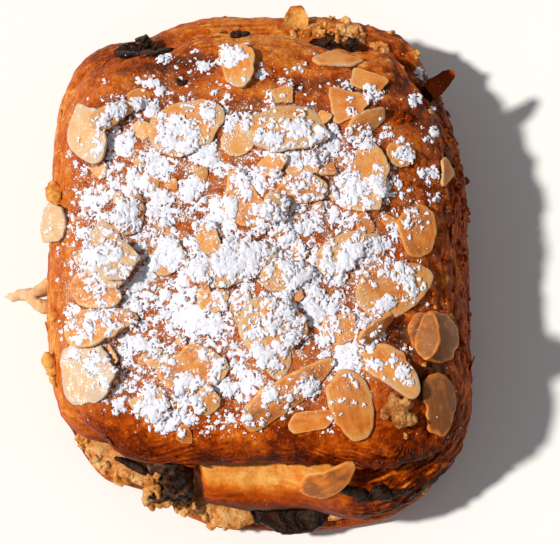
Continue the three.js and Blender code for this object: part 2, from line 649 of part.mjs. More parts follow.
const bay = toSolid(pool(GAP, 2 * CREAM_DEPTH));
addNode("almond_cream", toGeometry(toSolid(almondCream()).add(toSolid(tongue())).subtract(bay)), creamMaterial);
addNode("chocolate_pool", toGeometry(toSolid(pool(0, POOL.depth))), chocolateMaterial);

addToMap(upperGeometry, SAME_NODE);
let heap = toSolid(crumb(0));
for (let step = 1; step < CRUMB_HEAP.lumps; step++) {
  heap = heap.add(toSolid(crumb(step)));
}
addNode("cream_crumbs", settle(toGeometry(heap), GAP), creamMaterial);

SLICES.forEach((spec, number) => {
  addNode("almond_" + String(number + 1).padStart(2, "0"), almond(spec, number), almondMaterial);
});

export default pastry;
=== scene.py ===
# Looks of an almond pain au chocolat: baked crust, almond cream, chocolate, flaked almonds, icing sugar
# and crumbs. Shapes are worked out in millimetres, in the frame's own axes, and become metres when a mesh
# is made. X runs across, Y along the chocolate batons, Z up, with the front at -Y.
import math

import bpy
import numpy as np
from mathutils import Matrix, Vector
from mathutils.bvhtree import BVHTree


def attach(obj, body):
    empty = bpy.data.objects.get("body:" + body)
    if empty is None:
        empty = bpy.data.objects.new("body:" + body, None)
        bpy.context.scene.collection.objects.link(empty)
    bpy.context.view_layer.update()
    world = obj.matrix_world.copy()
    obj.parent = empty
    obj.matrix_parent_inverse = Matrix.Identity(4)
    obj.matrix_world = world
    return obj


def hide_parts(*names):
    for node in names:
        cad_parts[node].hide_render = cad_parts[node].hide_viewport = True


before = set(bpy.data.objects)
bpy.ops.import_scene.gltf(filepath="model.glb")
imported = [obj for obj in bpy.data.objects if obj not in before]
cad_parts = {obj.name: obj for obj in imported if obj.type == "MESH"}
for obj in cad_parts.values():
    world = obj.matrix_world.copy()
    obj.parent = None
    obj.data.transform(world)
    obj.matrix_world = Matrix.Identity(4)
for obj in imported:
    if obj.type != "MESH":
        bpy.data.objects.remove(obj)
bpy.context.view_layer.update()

MM = 0.001
SEED = 7
random = np.random.default_rng(SEED)

# Driving sizes of the pastry, as the solids have them
WIDTH = 100.0
LENGTH = 126.0
HEIGHT = 44.0
SEAM_HEIGHT = 8.5
CREAM_DEPTH = 3.4
GAP = 0.35
SEAM_INSET = 3.4
CREAM_INSET = 3.0
DOME_POWER = 2.4
LIP_LOW = 26.4
LIP_HIGH = 29.5
# How square each corner of the plan is, as the exponent of a superellipse
BACK_LEFT_CORNER = 4.0
BACK_RIGHT_CORNER = 2.6
FRONT_LEFT_CORNER = 2.9
FRONT_RIGHT_CORNER = 3.9
# An open end is full up to one share of the half width, and gone from another
END_FULL = 0.74
END_GONE = 0.97

# Soft dents and bulges: direction and spread in degrees, reach outwards
PLAN_BULGES = ((116, 9, -4.2), (245, 11, -6.0), (-37, 9, 1.8), (90, 30, -1.3), (57, 8, 2.6))
LIP_BULGES = ((240, 14, 9.0), (-55, 10, 5.4), (70, 11, -3.6))
CREAM_OOZE = (
    (236, 13, 2.0), (262, 6, 2.6), (162, 4, 2.6), (202, 5, 2.6), (184, 3, 3.0), (20, 8, 1.4), (305, 12, 1.2),
)
# Steps of the roll at the front end: place, fade and how far back it steps to the left of it
ROLL_STEPS = ((19, 7, 3.5), (-15, 2, 4.5))

# Wall of the upper crust: height, inset at the sides, at the front, at the back, share of the roll's steps
UPPER_WALL = (
    (SEAM_HEIGHT + CREAM_DEPTH + 2 * GAP, SEAM_INSET, SEAM_INSET + 1.5, SEAM_INSET, 1.0),
    (14.2, 1.6, 3.0, 1.6, 0.8),
    (17.5, 0.0, 1.5, 0.0, 1.0),
    (21.0, 0.3, 2.0, 0.4, 1.0),
    (23.5, 0.9, 4.0, 1.6, 1.0),
    (25.4, 1.5, 7.6, 4.0, 0.6),
    (26.2, 1.8, 12.0, 7.0, 0.3),
    (26.6, 2.0, 18.0, 11.5, 0.0),
    (28.2, 2.7, 19.5, 13.0, 0.0),
    (29.4, 3.3, 16.0, 10.5, 0.0),
    (30.6, 4.0, 14.5, 9.0, 0.0),
    (32.8, 5.5, 14.0, 8.4, 0.0),
    (35.4, 8.0, 15.2, 9.8, 0.0),
    (38.2, 12.0, 18.5, 13.5, 0.0),
)
# Wall of the lower crust: height and inset
LOWER_WALL = ((0.0, 7.0), (1.3, 3.6), (4.0, 1.4), (6.6, 1.5), (8.2, 2.8))

# Zones of the crust and its sugar: on each axis named, where a zone begins and where it is full
ZONES = {
    "lip": (("z", 28.5, 30), ("z", 38, 34.5)),
    "groove": (("z", 26.4, 27.2), ("z", 30, 28.6)),
    "roll": (("z", 28, 26.4),),
    "roll_top": (("z", 23.6, 26), ("z", 28, 26.6)),
    "low_wall": (("z", 25.4, 16.5),),
    "shoulder": (("z", 32, 36),),
    "left_side_painted_light": (("x", -36, -46), ("z", 37, 33)),
    "right": (("x", 28, 42),),
    "right_side": (("x", 38, 46), ("z", 39, 34)),
    "right_edge": (("x", 18, 32), ("y", -36, -47), ("z", 37, 31)),
    "front_right_lip_shade": (("x", 16, 24), ("z", 33, 30)),
    "front_corner": (("x", 14, 30), ("y", -32, -40)),
    "front_bare": (("y", -32, -42),),
    "front_calm": (("x", 26, 12),),
    "front_golden": (("x", 28, 17),),
    "back_bare": (("y", 26, 38),),
    "back_creased": (("y", 24, 40),),
    "back_peeling": (("y", 36, 44),),
    "back_rough": (("y", 34, 44),),
    "back_top": (("y", 30, 42), ("x", -30, -10), ("x", 36, 24)),
    "back_left": (("y", 36, 46), ("x", -8, -24)),
    "back_right": (("x", 8, 24), ("y", 20, 34)),
    "less_dust": (("x", -10, 20), ("y", 20, 44)),
    "dusted": (("y", -43, -33),),
    "behind_lip": (("y", -44.5, -40.5),),
    "no_sugar": (("x", -25, -31), ("y", -36, -39)),
}
# Heights between which the top of the crust begins, and how much higher that is at the ends
TOP_HEIGHTS = (33, 39)
TOP_AT_ENDS = 2
# How much paler, or darker if below 0, some zones of the crust are coloured; on the left side this is painted
# light and on the right painted shade
ZONE_TOAST_AND_SHADING = {
    "left_side_painted_light": 0.16, "back_top": 0.13, "right": -0.18, "front_corner": -0.14, "back_right": -0.12,
    "back_left": -0.1,
}
# Places where the crust is darkened, as painted shade in hollows by the flakes and on the front slope, and at
# the back left: middle, reach, how much darker
DARK_PLACES = (
    (33.0, -22.5, 6.5, 0.34), (38.5, -30.5, 6.5, 0.3), (44.0, -29.0, 5.0, 0.3),
    (-12.0, -45.5, 8.0, 0.2), (7.0, -46.5, 9.0, 0.2), (-28.0, -46.0, 8.0, 0.12),
    (-37.0, 34.0, 11.0, 0.13), (-22.0, 36.0, 9.0, 0.1),
)
# The crust rises towards flakes that lie over it: from how far below, how much at most, in how many soft
# rounds, up to which x, and how far below a flake it stops
BED_REACH = 9.0
BED_RISE = 3.6
BED_ROUNDS = 50
BED_RIGHT = 37.0
BED_CLEARANCE = 0.1

# Solids that are only made finer: new name, slot, edge of the faces, lumps of a size and a depth
FINER_NODES = {
    "almond_cream": ("almond_cream_filling", "almond_cream", 0.85, ((4.0, 0.4), (1.6, 0.3))),
    "cream_crumbs": ("cream_crumb_heap", "almond_cream", 0.25, ((1.6, 0.3), (0.8, 0.25))),
    "chocolate_left": ("chocolate_left_melted", "chocolate", 0.5, ((5.0, 0.9), (1.6, 0.7))),
    "chocolate_right": ("chocolate_right_melted", "chocolate", 0.6, ((5.0, 0.5), (1.6, 0.35))),
    "chocolate_pool": ("chocolate_pool_melted", "chocolate", 0.6, ((5.0, 0.5), (1.6, 0.35))),
}
# Where the filling turns pale towards its tongue
PALE_FROM = -48.5
PALE_FULL = -51.5

# Flaked almonds: half thickness, unevenness of the outline, waves, usual toasting and how much it varies
SLICE_HALF = 0.36
SLICE_RAGGED = 0.075
SLICE_WAVE = 0.14
SLICE_TONE = 0.56
SLICE_VARIES = 0.14
# How toasted flakes that are paler or darker are, by number; the dark tones of 42, 43 and 46 are painted
# shade on flakes turned from the light
SLICE_TONES = {
    2: 0.26, 3: 0.5, 5: 0.55, 8: 0.42, 9: 0.62, 10: 0.6, 11: 0.66, 14: 0.5, 15: 0.68, 16: 0.66, 17: 0.2,
    18: 0.06, 19: 0.62, 20: 0.7, 21: 0.34, 22: 0.2, 23: 0.72, 26: 0.72, 34: 0.7, 38: 0.72, 39: 0.8,
    40: 0.68, 41: 0.56, 42: 1.0, 43: 1.0, 45: 0.62, 46: 0.96, 48: 0.8, 50: 0.86,
}
# Share of the sugar that stays on flakes that show clear, by number
CLEAR_SLICES = {
    2: 0.35, 8: 0.8, 9: 0.5, 10: 0.25, 11: 0.4, 18: 0.55, 19: 0.7, 20: 0.6, 21: 0.9, 22: 0.85, 38: 0.4,
    40: 0.35, 41: 0.7, 42: 0.15, 43: 0.3, 46: 0.1, 50: 0.0,
}
# Where the rim of a flake begins, and the share of the sugar that stays on it
RIM_FROM = 0.85
RIM_KEEPS = 0.5
# Flakes under an even veil of the finest sugar, and how dusted they are
VEILED_SLICES = {2: 0.7, 3: 0.6, 17: 0.8, 18: 0.9, 21: 0.6, 22: 0.7}
# Flakes that are thinner than their solid and so have to lie a little lower to touch what carries them
LOWERED_SLICES = {16: 0.5, 46: 0.75}

# Small broken pieces: widths as a share of the length, broken edges, unevenness of the outline,
# curl and the least of it, half thickness, waves
ALMOND_BIT = {"widths": (0.45, 0.75), "breaks": 3, "ragged": 0.0, "curl": -0.02, "least": -0.3,
              "half": 0.32, "wave": 0.1}
CRUST_PEEL = {"widths": (0.35, 0.7), "breaks": 2, "ragged": 0.1, "curl": 0.05, "least": -1,
              "half": 0.13, "wave": 0.12}
CHOCOLATE_SHARD = {"widths": (0.35, 0.6), "breaks": 2, "ragged": 0.1, "curl": 0.06, "least": -1,
                   "half": 0.4, "wave": 0.4}
# Bits of almond: number and lengths
BIT_COUNT = 36
BIT_LENGTHS = (4.0, 8.0)
# Bits that show, at x and y; the others lie at random
BIT_PLACES = ((-14, 17), (-17, -22.5), (20.5, 8.5), (-16.5, -44.3), (-33, 12), (-12, -10), (15, 30), (30, 6))
# Peels of crust: number, lengths and lowest z
PEEL_COUNT = 130
PEEL_LENGTHS = (1.6, 4.6)
PEEL_LOWEST = 14
# Crisp flakes that stand off the crust: middle, length, width, turn and tilt in degrees, toasting; the first,
# on the right, is darkened nearly black as painted shade
STANDING_FLAKES = (
    ((42.4, 41.2, 29.5), 12.0, 4.6, 40, -18, -0.3),
    ((9.0, 58.4, 26.0), 8.0, 6.0, 84, -36, 1.0),
)

# Chocolate in lumps at the front end: middle, spread, number, size
CHOCOLATE_LUMPS = (
    ((-19.0, -55.6, 22.5), (3.2, 0.8, 2.4), 20, 0.8),
    ((-2.0, -59.6, 10.6), (3.0, 1.6, 1.0), 10, 0.8),
)
# Smooth bands of chocolate at the front end: where one starts, bends to and stops, number of balls, size.
# The slit lies on the crust, so its z is left open, and it is sunk in a little.
# The band under the lip on the left is a dark piece put in a gap that lies in shade: painted shade
SHADE_BAND_UNDER_LIP = ((-33.5, -45.8, 15.6), (-28.6, -47.6, 15.2), (-24.0, -50.4, 15.6), 44, 1.1)
CHOCOLATE_SLIT = ((17.0, -53.6, 0.0), (25.5, -56.8, 0.0), (35.0, -54.2, 0.0), 120, 1.4)
SLIT_SUNK = 0.2
# Shards of chocolate on the back end: middle, spread, number, length
CHOCOLATE_SHARDS = (
    ((-28.0, 48.4), (5.6, 1.8), 18, 6.0),
    ((-27.0, 52.0), (0.8, 1.0), 4, 4.6),
    ((18.6, 51.6), (6.4, 2.2), 22, 4.6),
    ((-4.6, 53.0), (1.2, 1.4), 5, 3.2),
)
# Crumbs of chocolate on the top, each of a few balls: place x, y and size
CHOCOLATE_BITS = (
    (-18.2, 39.5, 0.9), (-17.0, 39.3, 0.7), (-5.4, 52.0, 1.1), (-4.6, 53.0, 0.9), (-5.2, 54.4, 0.7),
    (-8.5, 55.5, 0.8), (44.0, 24.0, 1.0), (45.5, 21.5, 0.8), (-27.4, 50.4, 1.4), (-27.2, 52.2, 1.1),
)
CHOCOLATE_BIT_BALLS = 5
# Where cream has squeezed out in crumbs round the rim: from and to in degrees, and how many
CREAM_RIMS = ((221, 264, 190), (152, 172, 34), (195, 209, 34), (298, 316, 26), (8, 34, 40))
# Root of the tongue of cream on the left, in bands as for chocolate
CREAM_BANDS = (
    ((-45.5, -0.6, 12.2), (-49.6, -3.0, 12.2), (-55.6, -5.9, 11.6), 46, 1.7),
    ((-46.5, -9.2, 11.6), (-51.4, -9.6, 11.4), (-55.8, -6.3, 11.4), 46, 1.6),
)
# Cream baked onto the back end: middle, spread, number, size
CREAM_PATCHES = (
    ((22.0, 55.2), (3.6, 2.4), 110, 0.7), ((13.0, 56.6), (4.4, 2.0), 36, 0.45),
    ((29.0, 51.5), (2.4, 1.6), 30, 0.5),
)
# Cream that sticks to the left baton at the front: middle, spread, number, size
CREAM_SPOTS = (
    ((-25.0, -55.2, 23.6), (0.8, 1.6, 3.2), 50, 0.8),
    ((-24.2, -53.8, 27.0), (1.2, 2.4, 0.5), 46, 0.7),
    ((-22.8, -56.9, 20.9), (2.2, 0.7, 1.2), 40, 0.9),
    ((-17.0, -57.5, 14.5), (2.4, 1.2, 2.0), 26, 0.8),
)
# Where crumbs are baked onto the wall: from and to in degrees, lowest and highest z, number
CRUST_CRUMB_WALL = (-26, 44, 14, 40, 90)
CREAM_CRUMB_WALL = (48, 82, 22, 30, 34)
# Chunks of crust on the left edge: place and size
CRUST_CHUNKS = (
    ((-48.2, 15.4, 28.5), 2.0), ((-47.6, 13.4, 30.0), 1.6), ((-48.6, 17.4, 27.0), 1.2),
    ((-48.8, -24.4, 26.5), 1.5), ((-48.2, -26.4, 26.0), 1.5), ((-47.8, -28.6, 25.5), 1.2),
    ((-48.0, -14.0, 28.0), 1.0),
)
# Loose crumbs towards the right: number, and the range of x and of y
LOOSE_CRUMBS = 40
LOOSE_X = (24, 46)
LOOSE_Y = (-44, 44)

# Icing sugar: middle x, y and radius of its thickest patches
SUGAR_PATCHES = (
    (-26, 39, 3), (-25, 36, 3.5), (-24, 33, 3.4), (-27, 34, 3.2), (-8.5, 57, 1.8), (-3, 51.5, 1.6),
    (-22, 46, 1.4), (-13, 43.5, 1.2), (-18, 25.5, 4.5), (-33, 31.5, 2.4), (-35, 27, 3), (-36, 22, 3),
    (-31, 24, 3), (-24, 19, 4), (-28, 14, 4), (-22, 8, 4.5), (-37, 4, 4), (-38, 12, 3), (-37, -3, 3),
    (-27, -8, 3), (24, -25, 3.2), (-38, -30, 2.7), (-33, -3, 2.4), (-37, -17, 2.2), (-32, -37, 2),
    (-16, -33, 3), (-8, 7, 4.5), (0, 13, 4.5), (6, 15, 3), (2, 6, 4.5), (7, 3, 3), (-19, -2, 4), (-5, -4, 6),
    (6, -2, 5), (10, -8, 4), (17, -5, 5), (-36, -8, 3), (-35, -15.5, 2.6), (-42, -14, 2.2), (-42.5, -24, 1.8),
    (-18, -14, 5), (-26, -17, 3.2), (-11, -19, 5), (14, -14, 5), (-32, -20, 3), (-40, -20, 3), (2, -26, 4),
    (-7, -30.5, 4), (0, -33, 3), (-35, -27, 3), (-24, -36, 4), (-20, -42, 3.5), (-15, -38, 3), (20, -27, 3.5),
    (26, -28.5, 2), (30, -27.5, 2), (33, -30.5, 1.5), (25, -21, 3.5), (29, 14, 4), (21, 12, 3.5),
    (9, 27, 3.5), (3, 23, 3), (16, 24, 4), (13, 21, 3), (24, 25, 3), (34, 22, 2.5), (39.5, 18, 2),
    (41, 12, 1.5), (36, 8, 2),
    (33, 3, 2.5), (33, -6, 2.5), (27, 0, 2.8), (22, -2, 2.4), (-6, 45, 3.5), (20, 38.5, 2.2), (26.5, 36.5, 2),
    (22, 31.5, 1.6), (-5, 28, 3), (13, 5, 1.6), (36, -9.5, 2.5), (31, -5, 2), (29, -14, 2), (8, 18, 3),
    (-12, 20, 3.5), (-14, 12, 4), (-30, 6, 3.5), (-25, -5, 3.5), (-14, -7, 4), (-15, -2, 3), (-24, -25, 2.4),
    (-28, -23, 2), (5, -15, 4), (6, -24, 3), (3, -20, 3), (-35, -33.5, 2.6), (3, -36, 2), (12, -33, 2),
    (15, -24, 2.5), (-12, 31, 2.5), (36.8, 35.6, 1.3), (41, 35.3, 0.9), (40.3, 27.3, 1.8), (39, 45.5, 1.2),
    (21.4, 52.5, 1.3),
)
# Squarish areas that the sugar fell on: middle x, y and half widths
SUGAR_CORE = (-8, -5, 40, 42)
SUGAR_WIDE = (-4, 0, 47, 50)
# Kinds of sugar heaps: tries, smallest and largest heap, largest ball, fineness, share of the faces kept
SUGAR_DRIFTS = {"tries": 12000, "least": 0.6, "most": 1.8, "ball": 0.36, "voxel": 0.27, "kept": 0.45}
SUGAR_CLUMPS = {"tries": 14000, "least": 0.42, "most": 1.0, "ball": 0.3, "voxel": 0.24, "kept": 0.45}
# Single grains: how many are tried, and how far they lie from a clump
SUGAR_GRAINS = 12000
GRAINS_APART = 1.3
# Sugar slides off where the surface faces up less than this
SUGAR_SLIDES = 0.45
# Dust where hardly any sugar fell, on the back right and on flakes, as a share of the most
LEAST_DUST = 0.22
BACK_DUST = 0.16
FLAKE_DUST = 0.8

# Camera above the front end, and the studio
CAMERA_LENS = 150.0
CAMERA_ELEVATION = math.radians(78)
CAMERA_DISTANCE = 0.5556
CAMERA_TARGET = Vector((5.2 * MM, -1.8 * MM, 20 * MM))
LAMP_TOWARDS = Vector((-0.61, -0.05, 0.79))
LAMP_ENERGY = 3.8
FLOOR_HALF = 2.0

# How fine the meshes are
AROUND = 512
WALL_STEPS = 9
DOME_ROWS = 64
SLICE_AROUND = 84
BIT_AROUND = 28
LARGE_STEPS = (0.12, 0.4, 0.68, 0.88, 0.975, 1.0)
SMALL_STEPS = (0.4, 0.88, 1.0)
CRISP_ANGLE = math.radians(45)


# Number helpers

def mix(a, b, share):
    return a + (b - a) * share


def smoothstep(low, high, value):
    share = np.clip((value - low) / (high - low), 0, 1)
    return share * share * (3 - 2 * share)


def zone(name, x, y, z=None):
    """How much a place belongs to a zone, from 0 to 1."""
    places = {"x": x, "y": y, "z": z}
    share = 1.0
    for axis, start, full in ZONES[name]:
        share = share * smoothstep(start, full, places[axis])
    return share


def hashed(cell, seed):
    """A random number from 0 to 1 for each whole-number lattice point."""
    mixed = cell[..., 0] * 374761393 + cell[..., 1] * 668265263 + cell[..., 2] * 1440662683 + seed * 974634521
    mixed = mixed & 0xFFFFFFFF
    mixed = ((mixed ^ (mixed >> 13)) * 1274126177) & 0xFFFFFFFF
    return ((mixed ^ (mixed >> 16)) & 0xFFFFFF) / 0xFFFFFF


def noise(points, size, seed):
    """Smooth noise from -1 to 1 whose lumps are about one size across."""
    place = np.asarray(points, float) / size
    cell = np.floor(place).astype(np.int64)
    part = place - cell
    ease = part ** 3 * (part * (part * 6 - 15) + 10)
    value = np.zeros(place.shape[:-1])
    for corner in np.ndindex(2, 2, 2):
        weight = np.prod(np.where(corner, ease, 1 - ease), axis=-1)
        value += weight * hashed(cell + np.array(corner), seed)
    return 2 * value - 1


def layered_noise(points, size, seed, layers):
    """Noise with finer and weaker lumps on top of coarser ones."""
    value = np.zeros(np.asarray(points).shape[:-1])
    for layer in range(layers):
        value += 0.5 ** layer * noise(points, size / 2 ** layer, seed + layer)
    return value


def roughened(points, normals, depth, size, seed, layers):
    """Points moved along their normals by layered noise of a depth."""
    return points + (depth * layered_noise(points, size, seed, layers))[:, None] * normals


def bulge(bulges, angle):
    """Sum of soft bulges in a direction given in radians."""
    out = np.zeros_like(angle)
    for at, spread, reach in bulges:
        apart = (np.degrees(angle) - at + 180) % 360 - 180
        out += reach * np.exp(-((apart / spread) ** 2))
    return out


def even_angles(count):
    return 2 * np.pi * np.arange(count) / count


def around(middle, spread, count):
    """So many random places round a middle."""
    return np.array(middle) + random.uniform(-1, 1, (count, len(spread))) * np.array(spread)


def smooth_rows(table, steps):
    """Rows of a table joined by a smooth curve, with so many steps between two of its rows."""
    rows = np.array(table, float)
    padded = np.vstack([2 * rows[0] - rows[1], rows, 2 * rows[-1] - rows[-2]])
    made = []
    for i in range(len(rows) - 1):
        a, b, c, d = padded[i:i + 4]
        for t in np.arange(steps) / steps:
            bend = (2 * a - 5 * b + 4 * c - d) * t * t + (3 * b - a - 3 * c + d) * t ** 3
            made.append(0.5 * (2 * b + (c - a) * t + bend))
    made.append(rows[-1])
    return np.array(made)


# Shape of the pastry

def plan_at(angle):
    """Plan of the pastry: direction, radius, and how far each direction belongs to an open end."""
    across, along = np.cos(angle), np.sin(angle)
    right = smoothstep(-1, 1, across)
    front = mix(FRONT_LEFT_CORNER, FRONT_RIGHT_CORNER, right)
    corner = mix(front, mix(BACK_LEFT_CORNER, BACK_RIGHT_CORNER, right), smoothstep(-1, 1, along))
    reach = np.abs(2 * across / WIDTH) ** corner + np.abs(2 * along / LENGTH) ** corner
    radius = reach ** (-1 / corner) + bulge(PLAN_BULGES, angle)
    end = 1 - smoothstep(END_FULL, END_GONE, np.abs(2 * radius * across / WIDTH))
    return {
        "angle": angle, "across": across, "along": along, "radius": radius, "end": end, "front": along < 0,
    }


def seam_wave(x, y):
    return 1.1 * np.sin(x / 17 + 0.5) * np.cos(y / 21 + 0.4)


def top_swell(x, y):
    folds = 0.7 * np.sin(y / 4.6 + 0.9 * np.sin(x / 13)) * smoothstep(36, 46, y)
    front_waves = 0.7 * np.sin(x / 7.5 + 0.6) * smoothstep(-34, -44, y)
    blisters = 0.5 * np.sin(x / 9 + y / 12) * np.sin(y / 10 - x / 15)
    return folds + front_waves + blisters


def upper_inset(plan, row):
    """How far in from the plan one row of the upper wall lies, in every direction."""
    z, side, front, back, belly = row
    edge = plan["radius"] * plan["across"]
    setback = np.zeros_like(edge)
    for x, fade, step in ROLL_STEPS:
        setback += step * smoothstep(x + fade, x - fade, edge) * plan["front"]
    end = np.where(plan["front"], front, back)
    lip = smoothstep(LIP_LOW, LIP_HIGH, z) * bulge(LIP_BULGES, plan["angle"])
    return mix(side, end, plan["end"]) + setback * plan["end"] * belly - lip


def ring(plan, radius, z):
    x, y = radius * plan["across"], radius * plan["along"]
    return np.stack([x, y, np.broadcast_to(z, radius.shape)], axis=-1)


def upper_rows(plan):
    """Rings of the upper crust from the seam to the middle of the top."""
    rows = []
    wall = smooth_rows(UPPER_WALL, WALL_STEPS)
    for row in wall:
        points = ring(plan, plan["radius"] - upper_inset(plan, row), row[0])
        x, y = points[:, 0], points[:, 1]
        low = seam_wave(x, y) * smoothstep(24, 15, row[0])
        points[:, 2] += mix(low, top_swell(x, y), smoothstep(29, 38, row[0]))
        rows.append(points)
    shoulder = wall[-1]
    for step in range(1, DOME_ROWS):
        share = 1 - step / DOME_ROWS
        height = mix(HEIGHT, shoulder[0], share ** DOME_POWER)
        points = ring(plan, share * (plan["radius"] - upper_inset(plan, shoulder)), height)
        points[:, 2] += top_swell(points[:, 0], points[:, 1])
        rows.append(points)
    return np.array(rows)


def run_along(rows):
    """How far each point is along its column of points."""
    steps = np.linalg.norm(np.diff(rows, axis=0), axis=-1)
    return np.vstack([np.zeros(rows.shape[1]), np.cumsum(steps, axis=0)])


def layer_steps(phase):
    """Stacked layers: each stands up sharply and slopes back to the next, about zero on the whole."""
    part = phase - np.floor(phase)
    return smoothstep(0, 0.22, part) * (1 - part) - 0.4


# Meshes

def grid_faces(rows, columns):
    """Faces of rows of points that each close on themselves."""
    row, column = np.meshgrid(np.arange(rows - 1), np.arange(columns), indexing="ij")
    after = (column + 1) % columns
    low, high = row * columns, (row + 1) * columns
    return np.stack([low + column, low + after, high + after, high + column], axis=-1).reshape(-1, 4).tolist()


def fan_faces(first, columns, tip, upward):
    """Triangles from one closed ring to a single point."""
    faces = []
    for column in range(columns):
        a, b = first + column, first + (column + 1) % columns
        faces.append([a, b, tip] if upward else [b, a, tip])
    return faces


def closed_rings(rows, bottom, top):
    """Points and faces of a closed solid from rings, lowest first, and a point at each end."""
    count, columns = rows.shape[:2]
    points = np.vstack([rows.reshape(-1, 3), bottom, top])
    faces = grid_faces(count, columns)
    faces += fan_faces(0, columns, count * columns, False)
    faces += fan_faces((count - 1) * columns, columns, count * columns + 1, True)
    return points, faces


def grid_normals(rows):
    """Outward normals of rows of points that each close on themselves."""
    sideways = np.roll(rows, -1, axis=1) - np.roll(rows, 1, axis=1)
    upward = np.gradient(rows, axis=0)
    normals = np.cross(sideways, upward)
    return normals / np.maximum(np.linalg.norm(normals, axis=-1, keepdims=True), 1e-9)


def join_meshes(meshes):
    """One set of points, faces and marks from several."""
    points, faces, marks = [], [], {}
    first = 0
    for part_points, part_faces, part_marks in meshes:
        points.append(part_points)
        faces += [[first + i for i in face] for face in part_faces]
        for mark, values in part_marks.items():
            marks.setdefault(mark, []).append(values)
        first += len(part_points)
    return np.vstack(points), faces, {mark: np.concatenate(values) for mark, values in marks.items()}


def make_piece(name, points, faces, nodes, material, marks=None, crisp=False):
    """A smooth mesh object from points in millimetres, riding on the frame, with named point values.
    A material reads 0 where a piece lacks a mark."""
    mesh = bpy.data.meshes.new(name)
    mesh.from_pydata((np.asarray(points) * MM).tolist(), [], faces)
    mesh.shade_smooth()
    if crisp:
        mesh.set_sharp_from_angle(angle=CRISP_ANGLE)
    for mark, values in (marks or {}).items():
        mesh.attributes.new(mark, "FLOAT", "POINT").data.foreach_set("value", np.asarray(values, np.float32))
    mesh.materials.append(material)
    piece = bpy.data.objects.new(name, mesh)
    bpy.context.scene.collection.objects.link(piece)
    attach(piece, "root")
    if nodes:
        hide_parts(*nodes)
    return piece


def mesh_arrays(mesh):
    """Points, normals and faces of a Blender mesh, in its own units."""
    count = len(mesh.vertices)
    points = np.zeros(count * 3, np.float32)
    normals = np.zeros(count * 3, np.float32)
    mesh.vertices.foreach_get("co", points)
    mesh.vertices.foreach_get("normal", normals)
    return points.reshape(-1, 3), normals.reshape(-1, 3), [list(face.vertices) for face in mesh.polygons]


def evaluated_arrays(thing):
    """Arrays of an object's mesh after its modifiers; the object is removed."""
    bpy.context.view_layer.update()
    graph = bpy.context.evaluated_depsgraph_get()
    fine = bpy.data.meshes.new_from_object(thing.evaluated_get(graph), depsgraph=graph)
    arrays = mesh_arrays(fine)
    bpy.data.objects.remove(thing)
    bpy.data.meshes.remove(fine)
    return arrays


def relax(thing, rounds):
    smooth = thing.modifiers.new("relax", "SMOOTH")
    smooth.factor = 0.5
    smooth.iterations = rounds


# Materials: a helper takes sockets or numbers and puts its nodes beside those of its first socket

def add_node(tree, kind, inputs=None, **settings):
    """A node with settings, whose inputs are numbers, colours or another node's output."""
    made = tree.nodes.new(kind)
    for key, value in settings.items():
        setattr(made, key, value)
    for key, value in (inputs or {}).items():
        if isinstance(value, bpy.types.NodeSocket):
            tree.links.new(value, made.inputs[key])
        else:
            made.inputs[key].default_value = value
    return made


def new_material(name, specular, tint=(1.0, 1.0, 1.0, 1.0)):
    """A material, its shader, and the place on the piece that its patterns start from."""
    material = bpy.data.materials.new(name)
    material.use_nodes = True
    shader = material.node_tree.nodes["Principled BSDF"]
    shader.inputs["Specular IOR Level"].default_value = specular
    shader.inputs["Specular Tint"].default_value = tint
    return material, shader, add_node(material.node_tree, "ShaderNodeTexCoord").outputs["Object"]


def finish_material(shader, colour, roughness, bumps):
    """Gives a shader its colour, its roughness, and bumps of a height and a depth in millimetres."""
    tree = shader.id_data
    tree.links.new(colour, shader.inputs["Base Color"])
    tree.links.new(roughness, shader.inputs["Roughness"])
    below = {}
    for height, depth in bumps:
        inputs = {"Height": height, "Strength": 1.0, "Distance": depth * MM, **below}
        below = {"Normal": add_node(tree, "ShaderNodeBump", inputs).outputs["Normal"]}
    tree.links.new(below["Normal"], shader.inputs["Normal"])


def noise_of(place, size, detail=4.0, roughness=0.55):
    """Noise from 0 to 1 whose lumps are about one size across, in millimetres."""
    inputs = {"Vector": place, "Scale": 1 / (size * MM), "Detail": detail, "Roughness": roughness}
    return add_node(place.id_data, "ShaderNodeTexNoise", inputs).outputs["Fac"]


def mark_of(place, name):
    return add_node(place.id_data, "ShaderNodeAttribute", attribute_name=name).outputs["Fac"]


def remap(value, low, high, to_low=0.0, to_high=1.0):
    inputs = {"Value": value, "From Min": low, "From Max": high, "To Min": to_low, "To Max": to_high}
    return add_node(value.id_data, "ShaderNodeMapRange", inputs).outputs["Result"]


def stretched(value, low=0.0, high=1.0):
    """Noise, most of which lies between 0.3 and 0.7, stretched from low to high."""
    return remap(value, 0.3, 0.7, low, high)


def reckon(operation, first, second=0.0):
    inputs = {0: first, 1: second}
    return add_node(first.id_data, "ShaderNodeMath", inputs, operation=operation).outputs["Value"]


def product(first, second):
    return reckon("MULTIPLY", first, second)


def total(*values):
    summed = values[0]
    for value in values[1:]:
        summed = reckon("ADD", summed, value)
    return summed


def colour_mix(share, first, second):
    inputs = {0: share, 6: first, 7: second}
    return add_node(share.id_data, "ShaderNodeMix", inputs, data_type="RGBA").outputs[2]


def colour_scale(value, stops):
    """A colour for each value, from stops of position and colour."""
    ramp = add_node(value.id_data, "ShaderNodeValToRGB", {"Fac": value})
    elements = ramp.color_ramp.elements
    elements[0].position, elements[0].color = stops[0]
    elements[1].position, elements[1].color = stops[-1]
    for position, colour in stops[1:-1]:
        elements.new(position).color = colour
    return ramp.outputs["Color"]


def rgb(red, green, blue):
    """Linear colour of an everyday 0 to 255 colour."""
    parts = [c / 255 for c in (red, green, blue)]
    return (*[c / 12.92 if c <= 0.04045 else ((c + 0.055) / 1.055) ** 2.4 for c in parts], 1.0)


SUGAR_WHITE = rgb(246, 245, 248)
